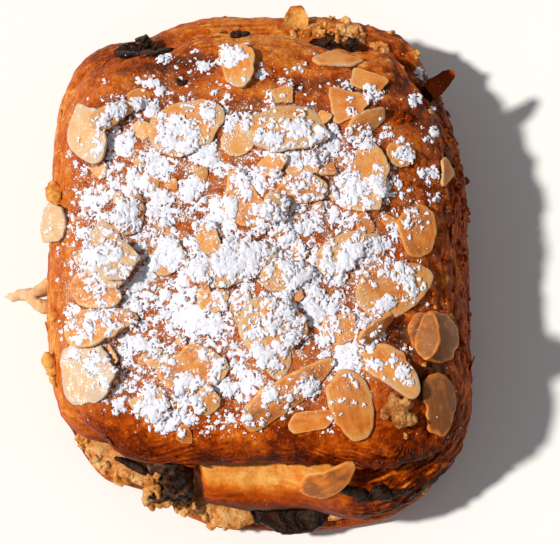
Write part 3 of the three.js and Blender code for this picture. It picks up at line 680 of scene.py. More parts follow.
# Colours of the crust, the cream and the almonds by how they are baked, with painted light and shade folded
# into the scales: place on the scale and colour
CRUST_STOPS = ((0.0, rgb(58, 12, 0)), (0.27, rgb(126, 40, 0)), (0.5, rgb(184, 76, 6)),
               (0.74, rgb(214, 116, 30)), (1.0, rgb(238, 174, 92)))
CREAM_STOPS = ((0.34, rgb(138, 62, 16)), (0.47, rgb(208, 134, 64)), (0.62, rgb(236, 192, 130)))
# Cream colours darkened all over, as painted shade on the crumb heap
CREAM_SHADED_STOPS = ((0.34, rgb(108, 48, 12)), (0.47, rgb(168, 102, 48)), (0.62, rgb(212, 158, 98)))
# The last, brown almond stop is toasting and also the painted shade of flakes 42, 43 and 46
ALMOND_STOPS = ((0.0, rgb(196, 171, 151)), (0.3, rgb(208, 166, 120)), (0.55, rgb(218, 148, 74)),
                (0.78, rgb(208, 116, 42)), (1.0, rgb(142, 82, 40)))


def dusted(place, colour, veil, veil_share):
    """The colour under fine specks of icing sugar and a faint veil where the piece is marked as dusted."""
    grain = noise_of(place, 0.45, detail=2.0, roughness=0.7)
    patch = noise_of(place, 2.4, detail=3.0)
    wanted = product(mark_of(place, "dust"), remap(patch, 0.4, 0.62, 0.25, 1.2))
    specks = remap(total(grain, product(wanted, 0.19)), 0.72, 0.78, 0.0, 0.9)
    veiled = colour_mix(product(wanted, veil_share), colour, veil)
    return colour_mix(specks, veiled, SUGAR_WHITE)


def patches_of(place, size):
    """A random value from 0 to 1 for each of many ragged patches about one size across, in millimetres."""
    tree = place.id_data
    inputs = {"Vector": place, "Scale": 1.4 / (size * MM), "Detail": 3.0}
    wander = add_node(tree, "ShaderNodeTexNoise", inputs)
    inputs = {0: wander.outputs["Color"], 1: (0.9 * size * MM,) * 3}
    shift = add_node(tree, "ShaderNodeVectorMath", inputs, operation="MULTIPLY")
    moved = add_node(tree, "ShaderNodeVectorMath", {0: place, 1: shift.outputs["Vector"]}, operation="ADD")
    inputs = {"Vector": moved.outputs["Vector"], "Scale": 1 / (size * MM)}
    cells = add_node(tree, "ShaderNodeTexVoronoi", inputs)
    return add_node(tree, "ShaderNodeSeparateColor", {"Color": cells.outputs["Color"]}).outputs["Red"]


def crust_material(name, brown):
    """Baked crust: browned unevenly, with painted light on its ridges and painted shade in its hollows, and
    thin layers at its open edges.
    """
    material, shader, place = new_material(name, 0.12, (1.0, 0.55, 0.2, 1.0))
    streak = noise_of(place, 1.6, detail=5.0, roughness=0.6)
    fine = noise_of(place, 0.75, roughness=0.7)
    scales = patches_of(place, 2.6)
    chips = patches_of(place, 1.3)
    line = remap(reckon("SINE", product(mark_of(place, "layers"), 3 * math.pi)), -1.0, 1.0)
    shown = product(mark_of(place, "laminate"), remap(noise_of(place, 4.0, detail=3.0), 0.42, 0.62))
    lively = remap(mark_of(place, "calm"), 0.0, 1.0, 1.0, 0.4)
    mottling = total(
        stretched(streak, -0.12, 0.12),
        stretched(fine, -0.12, 0.12),
        remap(noise_of(place, 0.9, detail=3.0), 0.6, 0.7, 0.0, 0.16),
        remap(scales, 0.0, 1.0, -0.09, 0.09),
        remap(chips, 0.0, 1.0, -0.08, 0.08),
    )
    tone = total(
        mark_of(place, "toast_and_shading"),
        stretched(noise_of(place, 11.0), -brown, brown),
        product(mottling, lively),
        # Painted light and shade: paler where the relief stands up, darker in its hollows
        product(mark_of(place, "relief_shading"), 0.17),
        product(shown, remap(line, 0.0, 1.0, -0.14, 0.21)),
    )
    colour = dusted(place, colour_scale(tone, CRUST_STOPS), rgb(186, 124, 76), 0.65)
    bumps = (
        (product(shown, line), 0.16), (scales, 0.22), (chips, 0.16),
        (product(streak, lively), 0.45), (product(fine, lively), 0.4),
    )
    finish_material(shader, colour, stretched(fine, 0.35, 0.55), bumps)
    return material


def cream_material(name, stops):
    """Baked almond cream: crumbly and tan, browned in places, pale where it is marked so."""
    material, shader, place = new_material(name, 0.12, (1.0, 0.7, 0.4, 1.0))
    patch = noise_of(place, 3.0, detail=5.0)
    crumb = noise_of(place, 0.7, roughness=0.65)
    tone = total(product(patch, 0.6), product(crumb, 0.4))
    colour = colour_mix(mark_of(place, "pale"), colour_scale(tone, stops), rgb(238, 200, 156))
    finish_material(shader, colour, stretched(crumb, 0.6, 0.85), ((patch, 0.7), (crumb, 0.4)))
    return material


def chocolate_material(name, smeared):
    """Chocolate, dark with a dull bloom, and smeared with a share of cream in places."""
    material, shader, place = new_material(name, 0.16, (1.0, 0.85, 0.7, 1.0))
    bloom = noise_of(place, 2.0, detail=5.0, roughness=0.6)
    fine = noise_of(place, 0.6)
    smear = noise_of(place, 3.6, detail=5.0)
    dark = colour_mix(remap(bloom, 0.45, 0.75), rgb(24, 10, 6), rgb(52, 29, 19))
    colour = colour_mix(remap(smear, 0.5, 0.66, 0.0, smeared), dark, rgb(138, 84, 50))
    finish_material(shader, colour, stretched(fine, 0.28, 0.5), ((bloom, 0.6), (fine, 0.25)))
    return material


def almond_material():
    """Almond slice: cream-coloured at the rim, golden to toasted inside, with a faint lengthwise grain."""
    material, shader, place = new_material("flaked_almond", 0.2, (1.0, 0.8, 0.55, 1.0))
    tree = place.id_data
    inputs = {"X": product(mark_of(place, "along"), 0.3), "Y": mark_of(place, "across")}
    grain_place = add_node(tree, "ShaderNodeCombineXYZ", inputs).outputs["Vector"]
    inputs = {"Vector": grain_place, "Scale": 0.9, "Detail": 4.0}
    grain = add_node(tree, "ShaderNodeTexNoise", inputs).outputs["Fac"]
    patch = noise_of(place, 5.0, detail=3.0)
    tone = total(
        mark_of(place, "tone"),
        stretched(patch, -0.2, 0.2),
        stretched(grain, -0.1, 0.1),
        remap(mark_of(place, "rim"), 0.8, 0.97, 0.06, -0.24),
    )
    colour = dusted(place, colour_scale(tone, ALMOND_STOPS), rgb(236, 206, 160), 0.28)
    finish_material(shader, colour, stretched(patch, 0.4, 0.6), ((grain, 0.13), (noise_of(place, 0.6), 0.1)))
    return material


def sugar_material():
    material, shader, place = new_material("icing_sugar", 0.15)
    lump = noise_of(place, 0.36, roughness=0.7)
    colour = colour_mix(stretched(lump), rgb(232, 232, 243), rgb(242, 242, 252))
    finish_material(shader, colour, stretched(lump, 0.8, 0.95), ((lump, 0.2),))
    return material


def floor_material():
    material, shader, place = new_material("floor", 0.2)
    colour = colour_mix(noise_of(place, 60.0, detail=2.0), rgb(238, 237, 235), rgb(242, 241, 239))
    shader.id_data.links.new(colour, shader.inputs["Base Color"])
    shader.inputs["Roughness"].default_value = 0.8
    return material


# Where the icing sugar lies

def squarish(x, y, middle_x, middle_y, half_x, half_y):
    """1 on the edge of a squarish oval and less inside it."""
    return ((np.abs(x - middle_x) / half_x) ** 3 + (np.abs(y - middle_y) / half_y) ** 3) ** (1 / 3)


def sugar_reach(x, y):
    """How much sugar was sifted over a place: about 1 in the middle and 0 where none fell."""
    bare_corner = smoothstep(52, 66, x - 1.2 * y - 12)
    bare_corner = np.maximum(bare_corner, zone("no_sugar", x, y))
    fell = 0.75 * smoothstep(1.08, 0.72, squarish(x, y, *SUGAR_CORE))
    fell = fell + 0.25 * smoothstep(1.0, 0.8, squarish(x, y, *SUGAR_WIDE))
    return fell * (1 - bare_corner) * zone("behind_lip", x, y)


def sugar_patch(x, y):
    """How much a place belongs to one of the thick patches of sugar."""
    most = np.zeros_like(x)
    for patch_x, patch_y, size in SUGAR_PATCHES:
        most = np.maximum(most, np.exp(-1.3 * ((x - patch_x) ** 2 + (y - patch_y) ** 2) / size ** 2))
    return most


def dust_on(points, facing_up):
    """How dusted each point is with the finest sugar."""
    x, y = points[..., 0], points[..., 1]
    least = mix(LEAST_DUST, BACK_DUST, zone("less_dust", x, y)) * zone("behind_lip", x, y)
    return mix(least, 1, sugar_reach(x, y)) * smoothstep(0.2, 0.7, facing_up) * zone("dusted", x, y)


# Pieces of the crust and the filling

def softened(field):
    """A field on the rings averaged with its neighbours."""
    padded = np.vstack([field[:1], field, field[-1:]])
    field = 0.5 * field + 0.25 * (padded[:-2] + padded[2:])
    return 0.5 * field + 0.25 * (np.roll(field, 1, axis=1) + np.roll(field, -1, axis=1))


def bedded(rows, flakes):
    """Rings of the crust, risen softly under and round the flaked almonds that lie just above them."""
    covered, gap = flakes.gap_above(rows)
    near = smoothstep(BED_REACH, 0.8 * BED_REACH, gap) * (rows[..., 0] < BED_RIGHT)
    rise = np.minimum(0.9 * gap, BED_RISE) * near
    soft = rise
    for _ in range(BED_ROUNDS):
        soft = softened(soft)
    most = np.where(covered, np.maximum(gap - BED_CLEARANCE, 0), BED_REACH)
    risen = rows.copy()
    risen[..., 2] += np.minimum(np.maximum(rise, soft), most)
    return risen


def crust_depth(rows, zones, top, layers, laminate, calm):
    """Relief of the crust: layers at its edges, creases and peeling skin on top, crumbs."""
    x, y, z = np.moveaxis(rows, -1, 0)
    creased = np.stack([x / 2.6, y, z], axis=-1)
    creases = 0.5 - 2 * np.abs(noise(creased, 6.5, 17))
    bare = zones["back_bare"] + zones["front_bare"]
    peeling = layer_steps(y / 4.5 + 1.8 * noise(creased, 9, 16) + 0.6 * noise(creased, 3, 10))
    crumbly = np.abs(noise(rows, 3.4, 19)) + 0.5 * np.abs(noise(rows, 1.7, 20)) - 0.36
    depth = 0.5 * laminate * layer_steps(layers)
    depth += 0.12 * layered_noise(rows, 2.0, 15, 2)
    depth += top * (0.2 + 0.5 * zones["back_creased"]) * creases
    depth += (0.22 + 0.22 * zones["back_peeling"]) * top * bare * peeling
    depth += (0.3 + 0.5 * np.maximum(zones["right"], zones["back_right"])) * (1 - 0.75 * calm) * crumbly
    return depth


def crust_toast_and_shading(rows, zones, plan, top, lip):
    """How pale the crust is coloured: golden on the roll, dark on the front lip and low down, with painted
    shade in the groove, between the sugar, in hollows and on the right, and painted light on the left side.
    """
    x, y, _ = np.moveaxis(rows, -1, 0)
    front_end = plan["end"] * plan["front"]
    toast_and_shading = 0.49 + 0.4 * zones["roll_top"] * front_end * zones["front_golden"]
    # Painted shade: darker in the groove under the lip; the front lip is darker as well
    toast_and_shading -= 0.3 * zones["groove"] * plan["end"] + 0.3 * lip * plan["front"]
    toast_and_shading -= zones["low_wall"] * mix(0.12, 0.44, front_end)
    # Painted shade: darker where sugar lies on the top, for the shade between its heaps, and at the front
    # right under the lip
    toast_and_shading -= 0.08 * top * sugar_reach(x, y) + 0.08 * zones["front_right_lip_shade"] * front_end
    for name, change in ZONE_TOAST_AND_SHADING.items():
        toast_and_shading += change * zones[name]
    # Painted shade in hollows by the flakes and on the front slope; the places at the back left are just
    # darker
    for middle_x, middle_y, reach, darkness in DARK_PLACES:
        near = smoothstep(reach, 0.4 * reach, np.hypot(x - middle_x, y - middle_y))
        toast_and_shading -= darkness * near * zones["shoulder"]
    return toast_and_shading


def build_upper_crust(material, flakes):
    """The upper crust, with the rings, normals, layers and colour tones, painted shading included, that its
    flakes and crumbs start from.
    """
    plan = plan_at(even_angles(AROUND))
    rows = upper_rows(plan)
    normals = grid_normals(rows)
    x, y, z = np.moveaxis(rows, -1, 0)
    zones = {name: zone(name, x, y, z) for name in ZONES}
    top = smoothstep(*TOP_HEIGHTS, z - TOP_AT_ENDS * plan["end"])
    lip = zones["lip"] * plan["end"]
    layers = run_along(rows) / 2.0 + 1.2 * noise(rows, 17, 11) + 0.5 * noise(rows, 6, 12)
    patchy = smoothstep(-0.35, 0.35, noise(rows, 10, 13) + 0.1)
    laminate = (1 - top) * (0.3 + 0.7 * patchy) * mix(0.32, mix(0.45, 1.5, lip), plan["end"])
    laminate = np.maximum(laminate, np.maximum(1.1 * zones["right_edge"], 0.8 * zones["right_side"]))
    calm = np.maximum(zones["roll"] * plan["end"], 0.6 * lip) * plan["front"] * zones["front_calm"]
    depth = crust_depth(rows, zones, top, layers, laminate, calm)
    blisters = 0.32 * layered_noise(rows, 8, 14, 3)
    moved = bedded(rows + (depth + blisters)[..., None] * normals, flakes)
    bottom = (0, 0, UPPER_WALL[0][0] + seam_wave(0, 0))
    points, faces = closed_rings(moved, bottom, (0, 0, moved[-1, :, 2].mean()))
    toast_and_shading = crust_toast_and_shading(rows, zones, plan, top, lip)
    # The relief mark makes ridges paler and hollows darker in the colour, as painted light and shade
    marks = {
        "toast_and_shading": toast_and_shading, "relief_shading": depth / 0.4 * (1 + 0.7 * zones["back_rough"]), "layers": layers,
        "laminate": laminate + zones["right_edge"], "calm": calm, "dust": dust_on(moved, normals[..., 2]),
    }
    marks = {mark: np.append(values.ravel(), [0.4, 0.4]) for mark, values in marks.items()}
    piece = make_piece("crust_upper_baked", points, faces, ["crust_upper"], material, marks)
    return piece, moved, normals, laminate, toast_and_shading


def build_lower_crust(material):
    plan = plan_at(even_angles(AROUND))
    rows = []
    for z, inset in smooth_rows(LOWER_WALL, WALL_STEPS):
        points = ring(plan, plan["radius"] - inset, max(z, 0.0))
        points[:, 2] += seam_wave(points[:, 0], points[:, 1]) * smoothstep(1.3, 6.6, z)
        rows.append(points)
    rows = np.array(rows)
    normals = grid_normals(rows)
    layers = run_along(rows) / 2.0 + 1.1 * noise(rows, 15, 21) + 0.4 * noise(rows, 5, 22)
    laminate = smoothstep(0.5, 3, rows[..., 2]) * smoothstep(-0.5, 0.4, noise(rows, 8, 23) + 0.1)
    depth = 0.4 * laminate * layer_steps(layers) + 0.35 * layered_noise(rows, 6, 24, 3)
    moved = rows + (depth * smoothstep(0, 1.2, rows[..., 2]))[..., None] * normals
    points, faces = closed_rings(moved, (0, 0, 0), (0, 0, SEAM_HEIGHT + seam_wave(0, 0)))
    marks = {
        "toast_and_shading": np.full_like(depth, 0.42), "relief_shading": depth / 0.4, "layers": layers, "laminate": laminate,
    }
    marks = {mark: np.append(values.ravel(), [0, 0]) for mark, values in marks.items()}
    return make_piece("crust_lower_baked", points, faces, ["crust_lower"], material, marks)


def refine_node(node, material, seed):
    """A node's own mesh made finer: evenly remeshed, then roughened by its lumps."""
    name, slot, edge, lumps = FINER_NODES[node]
    fine = bpy.data.objects.new(name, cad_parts[node].data.copy())
    bpy.context.scene.collection.objects.link(fine)
    remesh = fine.modifiers.new("even", "REMESH")
    remesh.mode = "VOXEL"
    remesh.voxel_size = edge * MM
    relax(fine, 4)
    points, normals, faces = evaluated_arrays(fine)
    points = points / MM
    for size, depth in lumps:
        points = roughened(points, normals, depth, size, seed, 3)
    marks = {"pale": smoothstep(PALE_FROM, PALE_FULL, points[:, 0])}
    return make_piece(name, points, faces, [node], material, marks)


# Thin pieces: flaked almonds, bits of them, flakes of crust and shards of chocolate

def convex_hull(flat):
    """Corners of the convex hull, anticlockwise."""
    ordered = sorted(map(tuple, flat))

    def chain(points):
        kept = []
        for x, y in points:
            while len(kept) > 1:
                (ax, ay), (bx, by) = kept[-2], kept[-1]
                if (bx - ax) * (y - ay) - (by - ay) * (x - ax) > 0:
                    break
                kept.pop()
            kept.append((x, y))
        return kept[:-1]

    return np.array(chain(ordered) + chain(ordered[::-1]))


def hull_reach(flat, angles):
    """Distance from the middle to the hull of a flat point set in each direction."""
    hull = convex_hull(flat)
    reach = np.full(len(angles), np.inf)
    for start, stop in zip(hull, np.roll(hull, -1, axis=0)):
        side = stop - start
        across = np.cos(angles) * side[1] - np.sin(angles) * side[0]
        away = (start[0] * side[1] - start[1] * side[0]) / np.where(np.abs(across) < 1e-9, 1e-9, across)
        reach = np.where((away > 0) & (away < reach), away, reach)
    return 0.6 * reach + 0.2 * (np.roll(reach, 1) + np.roll(reach, -1))


def oval(length, width):
    """Reach of an oval outline in even directions."""
    angles = even_angles(BIT_AROUND)
    return 1 / np.hypot(2 * np.cos(angles) / length, 2 * np.sin(angles) / width)


def ragged(reach, number, share):
    """An outline with a finely uneven edge."""
    angles = even_angles(len(reach))
    edge = np.stack([3 * np.cos(angles), 3 * np.sin(angles), np.full_like(angles, 5.0 * number)], axis=-1)
    return reach * (1 + share * layered_noise(edge, 1.2, 31, 2))


def sheet_terms(x, y):
    """Terms of a curved sheet: level, two slopes and three curvatures."""
    return np.stack([np.ones_like(x), x, y, x * x, x * y, y * y], axis=1)


def thin_piece(reach, bend, half, number, wave, steps):
    """Points, faces and marks of a thin piece: an outline in even directions, a bend, and fine waves."""
    angles = even_angles(len(reach))
    face = np.array(steps)
    level = half * np.where(face == 1, 0.75, 1.0)
    shares = np.concatenate([face, face[::-1]])
    sides = np.concatenate([-level, level[::-1]])
    x = np.append((shares[:, None] * reach * np.cos(angles)).ravel(), [0, 0])
    y = np.append((shares[:, None] * reach * np.sin(angles)).ravel(), [0, 0])
    side = np.append(np.repeat(sides, len(reach)), [-half, half])
    rim = np.append(np.repeat(shares, len(reach)), [0, 0])
    surface = sheet_terms(x, y) @ bend
    surface += wave * noise(np.stack([x, y, np.full_like(x, 9.0 * number)], axis=-1), 4.0, 32)
    points = np.stack([x, y, surface + side], axis=-1)
    grid = points[:-2].reshape(len(shares), len(reach), 3)
    _, faces = closed_rings(grid, points[-2], points[-1])
    marks = {"rim": rim, "along": x, "across": y + 20.0 * number, "upper": (side > 0).astype(float)}
    return points, faces, marks


def build_slice(node, number, tone, material):
    """One flaked almond at its node's place, with a smooth outline, crisp rims and fine waves."""
    points, _, _ = mesh_arrays(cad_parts[node].data)
    cloud = np.unique(np.round(points / MM, 3), axis=0)
    middle = cloud.mean(axis=0)
    _, axes = np.linalg.eigh(np.cov((cloud - middle).T))
    normal = axes[:, 0] * np.sign(axes[2, 0])
    lengthways = axes[:, 2]
    basis = np.stack([lengthways, np.cross(normal, lengthways), normal])
    u, v, w = ((cloud - middle) @ basis.T).T
    bend = np.linalg.lstsq(sheet_terms(u, v), w, rcond=None)[0]
    reach = hull_reach(np.stack([u, v], axis=1), even_angles(SLICE_AROUND))
    reach = ragged(reach, number, SLICE_RAGGED)
    points, faces, marks = thin_piece(reach, bend, SLICE_HALF, number, SLICE_WAVE, LARGE_STEPS)
    points = middle - np.array([0, 0, LOWERED_SLICES.get(number, 0.0)]) + points @ basis
    marks["tone"] = np.full(len(points), tone)
    upper = marks.pop("upper")
    veil = upper * VEILED_SLICES.get(number, 0)
    marks["dust"] = np.maximum(FLAKE_DUST * dust_on(points, upper * normal[2]), veil)
    return make_piece(node + "_flake", points, faces, [node], material, marks, crisp=True)


def build_slices(material):
    names = sorted(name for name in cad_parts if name.startswith("almond_") and name != "almond_cream")
    slices = []
    for number, name in enumerate(names, start=1):
        usual = SLICE_TONE + SLICE_VARIES * random.standard_normal()
        slices.append(build_slice(name, number, SLICE_TONES.get(number, usual), material))
    return slices


def broken_outline(length, width, breaks):
    """An oval outline with some straight broken edges at random."""
    angles = even_angles(BIT_AROUND)
    reach = oval(length, width)
    for _ in range(breaks):
        facing = random.uniform(0, 2 * np.pi)
        towards = np.cos(angles - facing)
        distance = random.uniform(0.25, 0.42) * min(length, width)
        reach = np.where(towards > 0.05, np.minimum(reach, distance / np.maximum(towards, 0.05)), reach)
    return reach


def broken_piece(length, kind, number):
    """Points, faces and marks of a small broken piece of some kind."""
    reach = broken_outline(length, random.uniform(*kind["widths"]) * length, kind["breaks"])
    reach = ragged(reach, number, kind["ragged"])
    bend = np.array([0, 0, 0, *(kind["curl"] * random.uniform(kind["least"], 1, 3))])
    return thin_piece(reach, bend, kind["half"], number, kind["wave"], SMALL_STEPS)


def frame_on(normal, turn, tilt):
    """Axes of a piece that lies on a surface, turned about its normal and tilted by a random bit."""
    normal = np.asarray(normal) + tilt * random.standard_normal(3)
    normal /= np.linalg.norm(normal)
    start = np.array([math.cos(turn), math.sin(turn), 0.0])
    lengthways = start - normal * (start @ normal)
    lengthways /= np.linalg.norm(lengthways)
    return np.stack([lengthways, np.cross(normal, lengthways), normal])


def build_bits(tree, material):
    """Broken bits of almond that lie on the crust between the flakes."""
    spots = list(BIT_PLACES)
    while len(spots) < BIT_COUNT:
        x, y = np.float64(random.uniform(-40, 38)), np.float64(random.uniform(-42, 38))
        on_flake = tree.piece_at(x, y) != 0
        if random.uniform() < sugar_reach(x, y) and not on_flake:
            spots.append((x, y))
    places, slants, _ = tree.drop(*np.array(spots).T)
    meshes = []
    for number, (place, slant) in enumerate(zip(places, slants), start=60):
        points, faces, marks = broken_piece(random.uniform(*BIT_LENGTHS), ALMOND_BIT, number)
        basis = frame_on(slant, random.uniform(0, 2 * np.pi), 0.14)
        points = place + 0.35 * basis[2] + points @ basis
        marks["tone"] = np.full(len(points), random.uniform(0.3, 0.85))
        marks["dust"] = FLAKE_DUST * dust_on(points, marks.pop("upper") * basis[2][2])
        meshes.append((points, faces, marks))
    points, faces, marks = join_meshes(meshes)
    return make_piece("almond_bits", points, faces, [], material, marks, crisp=True)


def standing_flake(number, middle, length, width, turn, tilt, tone):
    """A crisp flake that stands off the crust, toasted in its own way but for its tip; a tone below 0 darkens
    it as painted shade.
    """
    reach = ragged(oval(length, width), number, 0.12)
    along = math.radians(turn)
    rise = math.radians(-tilt)
    level = math.cos(rise)
    lengthways = np.array([math.cos(along) * level, math.sin(along) * level, math.sin(rise)])
    widthways = np.array([-math.sin(along), math.cos(along), 0])
    basis = np.stack([lengthways, widthways, np.cross(lengthways, widthways)])
    bend = np.array([0, 0, 0, -4.8 / length ** 2, 0.02, 3.0 / width ** 2])
    points, faces, marks = thin_piece(reach, bend, 0.32, number, 0.5, LARGE_STEPS)
    marks["toast_and_shading"] = mix(tone, 0.6, smoothstep(0.36, 0.46, marks["along"] / length))
    return np.array(middle) + points @ basis, faces, marks


def build_crust_flakes(material, rows, normals, laminate, toast_and_shading):
    """Thin peels lifting off the layered edges, and the flakes that stand off the crust."""
    meshes = [standing_flake(number, *flake) for number, flake in enumerate(STANDING_FLAKES)]
    chance = (laminate * (rows[..., 2] > PEEL_LOWEST)).ravel() ** 2
    picks = random.choice(chance.size, PEEL_COUNT, replace=False, p=chance / chance.sum())
    for number, pick in enumerate(picks, start=3):
        place, normal = rows.reshape(-1, 3)[pick], normals.reshape(-1, 3)[pick]
        points, faces, marks = broken_piece(random.uniform(*PEEL_LENGTHS), CRUST_PEEL, number)
        round_turn = math.atan2(normal[1], normal[0]) + math.pi / 2 + 0.4 * random.standard_normal()
        basis = frame_on(normal, round_turn, 0.18)
        marks["toast_and_shading"] = np.full(len(points), toast_and_shading.ravel()[pick] + random.uniform(-0.05, 0.15))
        meshes.append((place + 0.1 * normal + points @ basis, faces, marks))
    points, faces, marks = join_meshes(meshes)
    marks = {"toast_and_shading": marks["toast_and_shading"], "layers": marks["across"] / 3, "laminate": np.full(len(points), 0.25)}
    return make_piece("crust_flakes", points, faces, [], material, marks, crisp=True)


def build_chocolate_shards(tree, material):
    """Thin broken shards of chocolate lying on the crust where the batons come out at the back."""
    meshes = []
    for middle, spread, count, length in CHOCOLATE_SHARDS:
        places, slants, _ = tree.drop(*around(middle, spread, count).T)
        for number, (place, slant) in enumerate(zip(places, slants), start=200):
            points, faces, _ = broken_piece(length * random.uniform(0.6, 1.1), CHOCOLATE_SHARD, number)
            basis = frame_on(slant, 0.5 * random.standard_normal(), 0.28)
            meshes.append((place + 0.2 * basis[2] + points @ basis, faces, {}))
    points, faces, _ = join_meshes(meshes)
    return make_piece("chocolate_shards", points, faces, [], material, crisp=True)


# Crumbs and lumps

def little_ball(splits):
    """Points and faces of a ball of radius 1 made from an octahedron."""
    points = [sign * axis for axis in np.eye(3) for sign in (1, -1)]
    faces = [(0, 2, 4), (2, 1, 4), (1, 3, 4), (3, 0, 4), (2, 0, 5), (1, 2, 5), (3, 1, 5), (0, 3, 5)]
    for _ in range(splits):
        halves, finer = {}, []

        def half_way(a, b):
            key = (min(a, b), max(a, b))
            if key not in halves:
                middle = points[a] + points[b]
                halves[key] = len(points)
                points.append(middle / np.linalg.norm(middle))
            return halves[key]

        for a, b, c in faces:
            ab, bc, ca = half_way(a, b), half_way(b, c), half_way(c, a)
            finer += [(a, ab, ca), (b, bc, ab), (c, ca, bc), (ab, bc, ca)]
        faces = finer
    return np.array(points), np.array(faces)


def scatter(places, sizes, splits, rough, seed):
    """Points and faces of many crumbs, each stretched, turned and roughened in its own way."""
    ball, faces = little_ball(splits)
    made, all_faces = [], []
    for i, (place, size) in enumerate(zip(places, sizes)):
        turn = np.linalg.qr(random.standard_normal((3, 3)))[0]
        shape = ball * random.uniform(0.7, 1.25, 3)
        if rough:
            shape = shape * (1 + rough * layered_noise(ball + 7.0 * i, 0.8, seed, 2))[:, None]
        made.append(place + size * shape @ turn)
        all_faces.append(faces + len(ball) * i)
    return np.vstack(made), np.vstack(all_faces).tolist()


def balls_to_mesh(points, sizes, voxel, kept):
    """One soft skin round overlapping balls, with a share of its faces kept. All in millimetres."""
    mesh = bpy.data.meshes.new("balls")
    mesh.from_pydata(points.tolist(), [], [])
    mesh.attributes.new("size", "FLOAT", "POINT").data.foreach_set("value", sizes.astype(np.float32))
    cloud = bpy.data.objects.new("balls", mesh)
    bpy.context.scene.collection.objects.link(cloud)
    group = bpy.data.node_groups.new("balls", "GeometryNodeTree")
    for way in ("INPUT", "OUTPUT"):
        group.interface.new_socket("Geometry", in_out=way, socket_type="NodeSocketGeometry")
    start = group.nodes.new("NodeGroupInput")
    stop = group.nodes.new("NodeGroupOutput")
    size = add_node(group, "GeometryNodeInputNamedAttribute", {"Name": "size"}, data_type="FLOAT").outputs[0]
    dots = add_node(group, "GeometryNodeMeshToPoints", {"Mesh": start.outputs[0], "Radius": size})
    inputs = {"Points": dots.outputs[0], "Radius": size, "Voxel Size": voxel}
    fog = add_node(group, "GeometryNodePointsToVolume", inputs, resolution_mode="VOXEL_SIZE")
    skin = add_node(group, "GeometryNodeVolumeToMesh", {"Volume": fog.outputs[0], "Threshold": 0.1})
    group.links.new(skin.outputs[0], stop.inputs[0])
    cloud.modifiers.new("balls", "NODES").node_group = group
    relax(cloud, 1)
    cloud.modifiers.new("thin", "DECIMATE").ratio = kept
    arrays = evaluated_arrays(cloud)
    bpy.data.node_groups.remove(group)
    return arrays


def rim_of_faces(mesh, faces):
    """How near each face of a thin piece is to its rim, from 0 to 1; other pieces have no rim."""
    if "rim" not in mesh.attributes:
        return [0.0] * len(faces)
    values = np.zeros(len(mesh.vertices), np.float32)
    mesh.attributes["rim"].data.foreach_get("value", values)
    return [values[face].mean() for face in faces]


class Surface:
    """Finder of the topmost surface of some pieces. Places are in millimetres."""

    def __init__(self, pieces):
        points, faces, owner, rim = [], [], [], []
        for number, piece in enumerate(pieces):
            first = len(points)
            piece_faces = [list(face.vertices) for face in piece.data.polygons]
            points += [tuple(vertex.co) for vertex in piece.data.vertices]
            faces += [[first + i for i in face] for face in piece_faces]
            owner += [number] * len(piece_faces)
            rim += rim_of_faces(piece.data, piece_faces)
        self.owner = np.array(owner)
        self.rim = np.array(rim)
        self.tree = BVHTree.FromPolygons(points, faces)

    def cast(self, x, y):
        return self.tree.ray_cast(Vector((x * MM, y * MM, 0.1)), Vector((0, 0, -1)))

    def piece_at(self, x, y):
        """Number of the piece that lies topmost at x, y, or -1."""
        face = self.cast(x, y)[2]
        return -1 if face is None else self.owner[face]

    def gap_above(self, points):
        """Whether a piece lies above each point, and how far it is up to its underside."""
        covered, gaps = [], []
        for point in points.reshape(-1, 3) * MM:
            _, normal, _, away = self.tree.ray_cast(Vector(point), Vector((0, 0, 1)))
            covered.append(away is not None)
            gaps.append(away / MM if away is not None and normal.z < 0 else 0.0)
        return np.array(covered).reshape(points.shape[:-1]), np.array(gaps).reshape(points.shape[:-1])

    def drop(self, x, y):
        """Places, slants and faces of the topmost surface under points x, y that lie over a piece."""
        places, slants, faces = [], [], []
        for a, b in zip(x, y):
            place, normal, face, _ = self.cast(a, b)
            if place is not None:
                places.append(np.array(place) / MM)
                slants.append(np.array(normal))
                faces.append(face)
        return np.array(places), np.array(slants), np.array(faces)


def build_lumps(name, places, sizes, voxel, material, rough, seed):
    """Lumps that have run together."""
    points, normals, faces = balls_to_mesh(np.vstack(places), np.concatenate(sizes), voxel, 0.7)
    points = roughened(points, normals, rough, 0.9, seed, 3)
    marks = {"pale": 0.7 * smoothstep(-49, -55, points[:, 0])}
    return make_piece(name, points, faces, [], material, marks)


def band_balls(start, bend, stop, count, size):
    """Places and sizes of balls along a bent path, smaller towards its ends."""
    start, bend, stop = np.array(start), np.array(bend), np.array(stop)
    share = np.linspace(0, 1, count)[:, None]
    path = mix(mix(start, bend, share), mix(bend, stop, share), share)
    return path + random.uniform(-0.1, 0.1, (count, 3)), size * (0.45 + 0.55 * np.sin(np.pi * share[:, 0]))


def build_chocolate_lumps(tree, material):
    places, sizes = [], []
    for middle, spread, count, size in CHOCOLATE_LUMPS:
        places.append(around(middle, spread, count))
        sizes.append(size * random.uniform(0.5, 1.2, count))
    # Painted shade: a dark band put in the shaded gap under the lip on the left
    shade_band_places, shade_band_sizes = band_balls(*SHADE_BAND_UNDER_LIP)
    slit, slit_sizes = band_balls(*CHOCOLATE_SLIT)
    slit_places, _, faces = tree.drop(slit[:, 0], slit[:, 1])
    on_crust = tree.owner[faces] == 0
    places += [shade_band_places, slit_places[on_crust] - np.array([0.0, 0.0, SLIT_SUNK])]
    sizes += [shade_band_sizes, slit_sizes[on_crust]]
    for x, y, size in CHOCOLATE_BITS:
        place, _, _ = tree.drop([x], [y])
        places.append(around(place, size * np.array([0.8, 0.8, 0.4]), CHOCOLATE_BIT_BALLS))
        sizes.append(size * random.uniform(0.5, 0.8, CHOCOLATE_BIT_BALLS))
    return build_lumps("chocolate_lumps", places, sizes, 0.35, material, 0.14, 67)


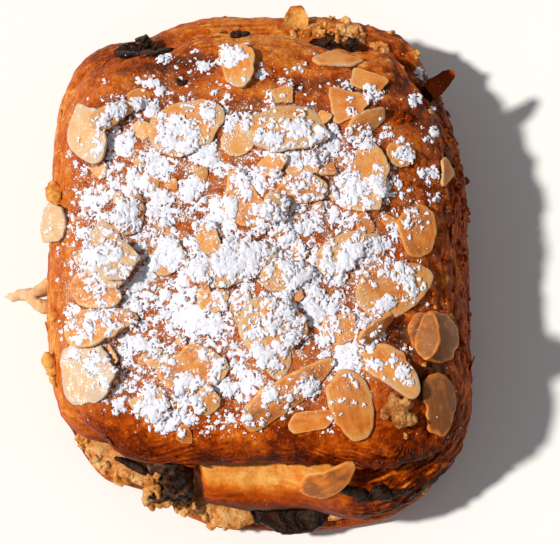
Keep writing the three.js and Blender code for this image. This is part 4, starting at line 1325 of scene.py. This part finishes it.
def build_cream_root(material):
    """Two smooth bands of cream by which the tongue comes out of the seam."""
    places, sizes = zip(*[band_balls(*band) for band in CREAM_BANDS])
    return build_lumps("cream_tongue_root", places, sizes, 0.3, material, 0.14, 68)


def build_cream_lumps(tree, material):
    """Cream in the seam, on the back end and on the left baton."""
    places, sizes = [], []
    for start, stop, count in CREAM_RIMS:
        plan = plan_at(np.radians(random.uniform(start, stop, count)))
        reach = plan["radius"] - CREAM_INSET + bulge(CREAM_OOZE, plan["angle"])
        radius = reach - random.uniform(0.0, 3.0, count)
        z = SEAM_HEIGHT + CREAM_DEPTH + random.uniform(-2.4, 0.2, count)
        place = ring(plan, radius, z)
        place[:, 2] += seam_wave(place[:, 0], place[:, 1])
        places.append(place)
        sizes.append(random.uniform(0.4, 1.1, count))
    for middle, spread, count, size in CREAM_PATCHES:
        place, _, _ = tree.drop(*around(middle, spread, count).T)
        places.append(place)
        sizes.append(size * random.uniform(0.5, 1.3, len(place)))
    for middle, spread, count, size in CREAM_SPOTS:
        places.append(around(middle, spread, count))
        sizes.append(size * random.uniform(0.6, 1.2, count))
    return build_lumps("cream_lumps", places, sizes, 0.3, material, 0.42, 66)


def baked_on(rows, normals, wall):
    """Places and sizes of crumbs baked onto a part of the wall."""
    start, stop, low, high, count = wall
    angle = np.degrees(np.arctan2(rows[..., 1], rows[..., 0]))
    there = (angle > start) & (angle < stop) & (rows[..., 2] > low) & (rows[..., 2] < high)
    spots, slants = rows[there], normals[there]
    lumpy = smoothstep(-0.1, 0.4, noise(spots, 7, 82)) + 0.05
    picks = random.choice(len(spots), count, replace=False, p=lumpy / lumpy.sum())
    sizes = random.uniform(0.3, 1.0, count)
    return spots[picks] + 0.1 * sizes[:, None] * slants[picks], sizes


def build_crust_crumbs(rows, normals, material):
    """Crumbs of crust on the right side and chunks of it on the left edge."""
    places, sizes = baked_on(rows, normals, CRUST_CRUMB_WALL)
    chunks, chunk_sizes = zip(*CRUST_CHUNKS)
    points, faces = scatter(np.vstack([places, chunks]), np.append(sizes, chunk_sizes), 2, 0.45, 83)
    marks = {"toast_and_shading": 0.4 + 0.5 * smoothstep(0, -40, points[:, 0])}
    return make_piece("crust_crumbs", points, faces, [], material, marks)


def build_crumbs(tree, rows, normals, material):
    """Crumbs of cream baked onto the back end, and a few loose ones on bare crust towards the right."""
    places, sizes = baked_on(rows, normals, CREAM_CRUMB_WALL)
    x, y = random.uniform(*LOOSE_X, LOOSE_CRUMBS), random.uniform(*LOOSE_Y, LOOSE_CRUMBS)
    loose, _, faces = tree.drop(x, y)
    loose = loose[tree.owner[faces] == 0]
    small = random.uniform(0.3, 0.7, len(loose))
    loose[:, 2] += 0.2 * small
    points, faces = scatter(np.vstack([places, loose]), np.append(sizes, small), 2, 0.6, 81)
    return make_piece("pastry_crumbs", points, faces, [], material)


# Icing sugar

def flat_noise(x, y, size, seed):
    return noise(np.stack([x, y, np.zeros_like(x)], axis=-1), size, seed)


def drift_chance(x, y):
    """How likely a heap of a thick patch lies at a place."""
    broken = smoothstep(-0.7, 0.1, flat_noise(x, y, 2.2, 42))
    return smoothstep(0.15, 0.6, sugar_patch(x, y)) * broken * zone("behind_lip", x, y)


def clump_chance(x, y):
    """How likely a loose clump lies at a place."""
    gaps = smoothstep(-0.4, 0.3, flat_noise(x, y, 4.2, 41))
    return 0.25 * sugar_patch(x, y) + 0.75 * gaps * sugar_reach(x, y)


def sift(tree, x, y):
    """Places under x, y on whatever lies uppermost, less what slid off slopes, rims and clear flakes.
    The flakes come right after the crust in the surface, so a flake's number is its owner's number."""
    places, slants, faces = tree.drop(x, y)
    share = np.array([CLEAR_SLICES.get(owner, 1.0) for owner in tree.owner[faces]])
    share = share * np.where(tree.rim[faces] > RIM_FROM, RIM_KEEPS, 1.0)
    stays = random.uniform(0, 1, len(places)) < share
    return places[stays & (slants[:, 2] > SUGAR_SLIDES)]


def heap_balls(heaps, heap_sizes, largest):
    """Every heap as a low mound of small balls, the larger ones in its middle."""
    places, sizes = [], []
    for heap, size in zip(heaps, heap_sizes):
        count = 4 + int(1.8 * (size / largest) ** 2)
        turn = random.uniform(0, 2 * np.pi, count)
        out = np.sqrt(random.uniform(0, 1, count))
        rise = 0.28 * size * (1 - out ** 2) * random.uniform(0.5, 1.1, count)
        places.append(heap + np.stack([size * out * np.cos(turn), size * out * np.sin(turn), rise], axis=-1))
        sizes.append(largest * (1 - 0.3 * out) * random.uniform(0.8, 1.15, count))
    return np.vstack(places), np.concatenate(sizes)


def build_heaps(name, kind, chance, tree, material):
    """All sugar heaps of one kind, grown together where they touch."""
    x, y = random.uniform(-50, 47, kind["tries"]), random.uniform(-49, 50, kind["tries"])
    fell = random.uniform(0, 1, kind["tries"]) < chance(x, y)
    heaps = sift(tree, x[fell], y[fell])
    sizes = mix(kind["least"], kind["most"], random.uniform(0, 1, len(heaps)) ** 2)
    places, balls = heap_balls(heaps, sizes, kind["ball"])
    points, normals, faces = balls_to_mesh(places, balls, kind["voxel"], kind["kept"])
    make_piece(name, roughened(points, normals, 0.07, 0.5, 51, 2), faces, [], material)
    return heaps


def build_grains(clumps, tree, material):
    """Single grains, most of them near the loose clumps."""
    beside = clumps[random.integers(0, len(clumps), SUGAR_GRAINS), :2]
    near = beside + GRAINS_APART * random.standard_normal((SUGAR_GRAINS, 2))
    far = random.uniform(-50, 48, (SUGAR_GRAINS, 2))
    chance = 0.5 * sugar_reach(far[:, 0], far[:, 1]) + 0.05 * zone("behind_lip", far[:, 0], far[:, 1])
    far = far[random.uniform(0, 1, SUGAR_GRAINS) < chance]
    places = sift(tree, *np.vstack([far, near])[:SUGAR_GRAINS].T)
    sizes = 0.07 + 0.17 * random.uniform(0, 1, len(places)) ** 2
    places[:, 2] += 0.4 * sizes
    points, faces = scatter(places, sizes, 0, 0.0, 52)
    make_piece("icing_sugar_grains", points, faces, [], material)


# Stage

def build_floor():
    mesh = bpy.data.meshes.new("floor")
    corners = [(x * FLOOR_HALF, y * FLOOR_HALF, 0) for x, y in ((-1, -1), (1, -1), (1, 1), (-1, 1))]
    mesh.from_pydata(corners, [], [(0, 1, 2, 3)])
    mesh.materials.append(floor_material())
    floor = bpy.data.objects.new("floor", mesh)
    bpy.context.scene.collection.objects.link(floor)


def build_light():
    world = bpy.data.worlds.new("studio")
    world.use_nodes = True
    background = world.node_tree.nodes["Background"]
    background.inputs["Color"].default_value = (0.94, 0.97, 1.0, 1.0)
    background.inputs["Strength"].default_value = 0.25
    bpy.context.scene.world = world
    lamp = bpy.data.lights.new("key", "SUN")
    lamp.energy = LAMP_ENERGY
    lamp.angle = math.radians(4)
    lamp.color = (1.0, 0.965, 0.91)
    key = bpy.data.objects.new("key", lamp)
    key.rotation_euler = LAMP_TOWARDS.to_track_quat("Z", "Y").to_euler()
    bpy.context.scene.collection.objects.link(key)


def build_camera():
    camera = bpy.data.cameras.new("camera")
    camera.lens = CAMERA_LENS
    camera.sensor_width = 36.0
    eye = bpy.data.objects.new("camera", camera)
    away = Vector((0, -math.cos(CAMERA_ELEVATION), math.sin(CAMERA_ELEVATION)))
    eye.location = CAMERA_TARGET + CAMERA_DISTANCE * away
    eye.rotation_euler = away.to_track_quat("Z", "Y").to_euler()
    bpy.context.scene.collection.objects.link(eye)
    bpy.context.scene.camera = eye


# The pastry

crust = crust_material("crust", 0.13)
base = crust_material("crust_base", 0.15)
cream = cream_material("almond_cream", CREAM_STOPS)
# A darker copy of the cream, as painted shade on the crumb heap
shaded_cream = cream_material("almond_cream_painted_shade", CREAM_SHADED_STOPS)
chocolate = chocolate_material("chocolate", 0.12)
smeared_chocolate = chocolate_material("chocolate_smeared", 0.8)
shard_chocolate = chocolate_material("chocolate_shards", 0.3)
almond = almond_material()
sugar = sugar_material()

slices = build_slices(almond)
upper, rings, ring_normals, laminate, toast_and_shading = build_upper_crust(crust, Surface(slices))
build_lower_crust(base)
build_crust_flakes(crust, rings, ring_normals, laminate, toast_and_shading)
refine_node("almond_cream", cream, 61)
heap = refine_node("cream_crumbs", shaded_cream, 62)
batons = [
    refine_node("chocolate_left", smeared_chocolate, 63),
    refine_node("chocolate_right", chocolate, 64),
    refine_node("chocolate_pool", chocolate, 65),
]
bits = build_bits(Surface([upper] + slices), almond)
dressed = Surface([upper] + slices + [bits, heap] + batons)
build_cream_lumps(dressed, cream)
build_cream_root(cream)
build_chocolate_lumps(dressed, chocolate)
shards = build_chocolate_shards(dressed, shard_chocolate)
build_crust_crumbs(rings, ring_normals, crust)
crumbs = build_crumbs(dressed, rings, ring_normals, cream)
topmost = Surface([upper] + slices + [bits, heap, crumbs, shards] + batons)
build_heaps("icing_sugar_drifts", SUGAR_DRIFTS, drift_chance, topmost, sugar)
clumps = build_heaps("icing_sugar_clumps", SUGAR_CLUMPS, clump_chance, topmost, sugar)
build_grains(clumps, topmost, sugar)
build_floor()
build_light()
build_camera()
bpy.context.scene.view_settings.view_transform = "Standard"
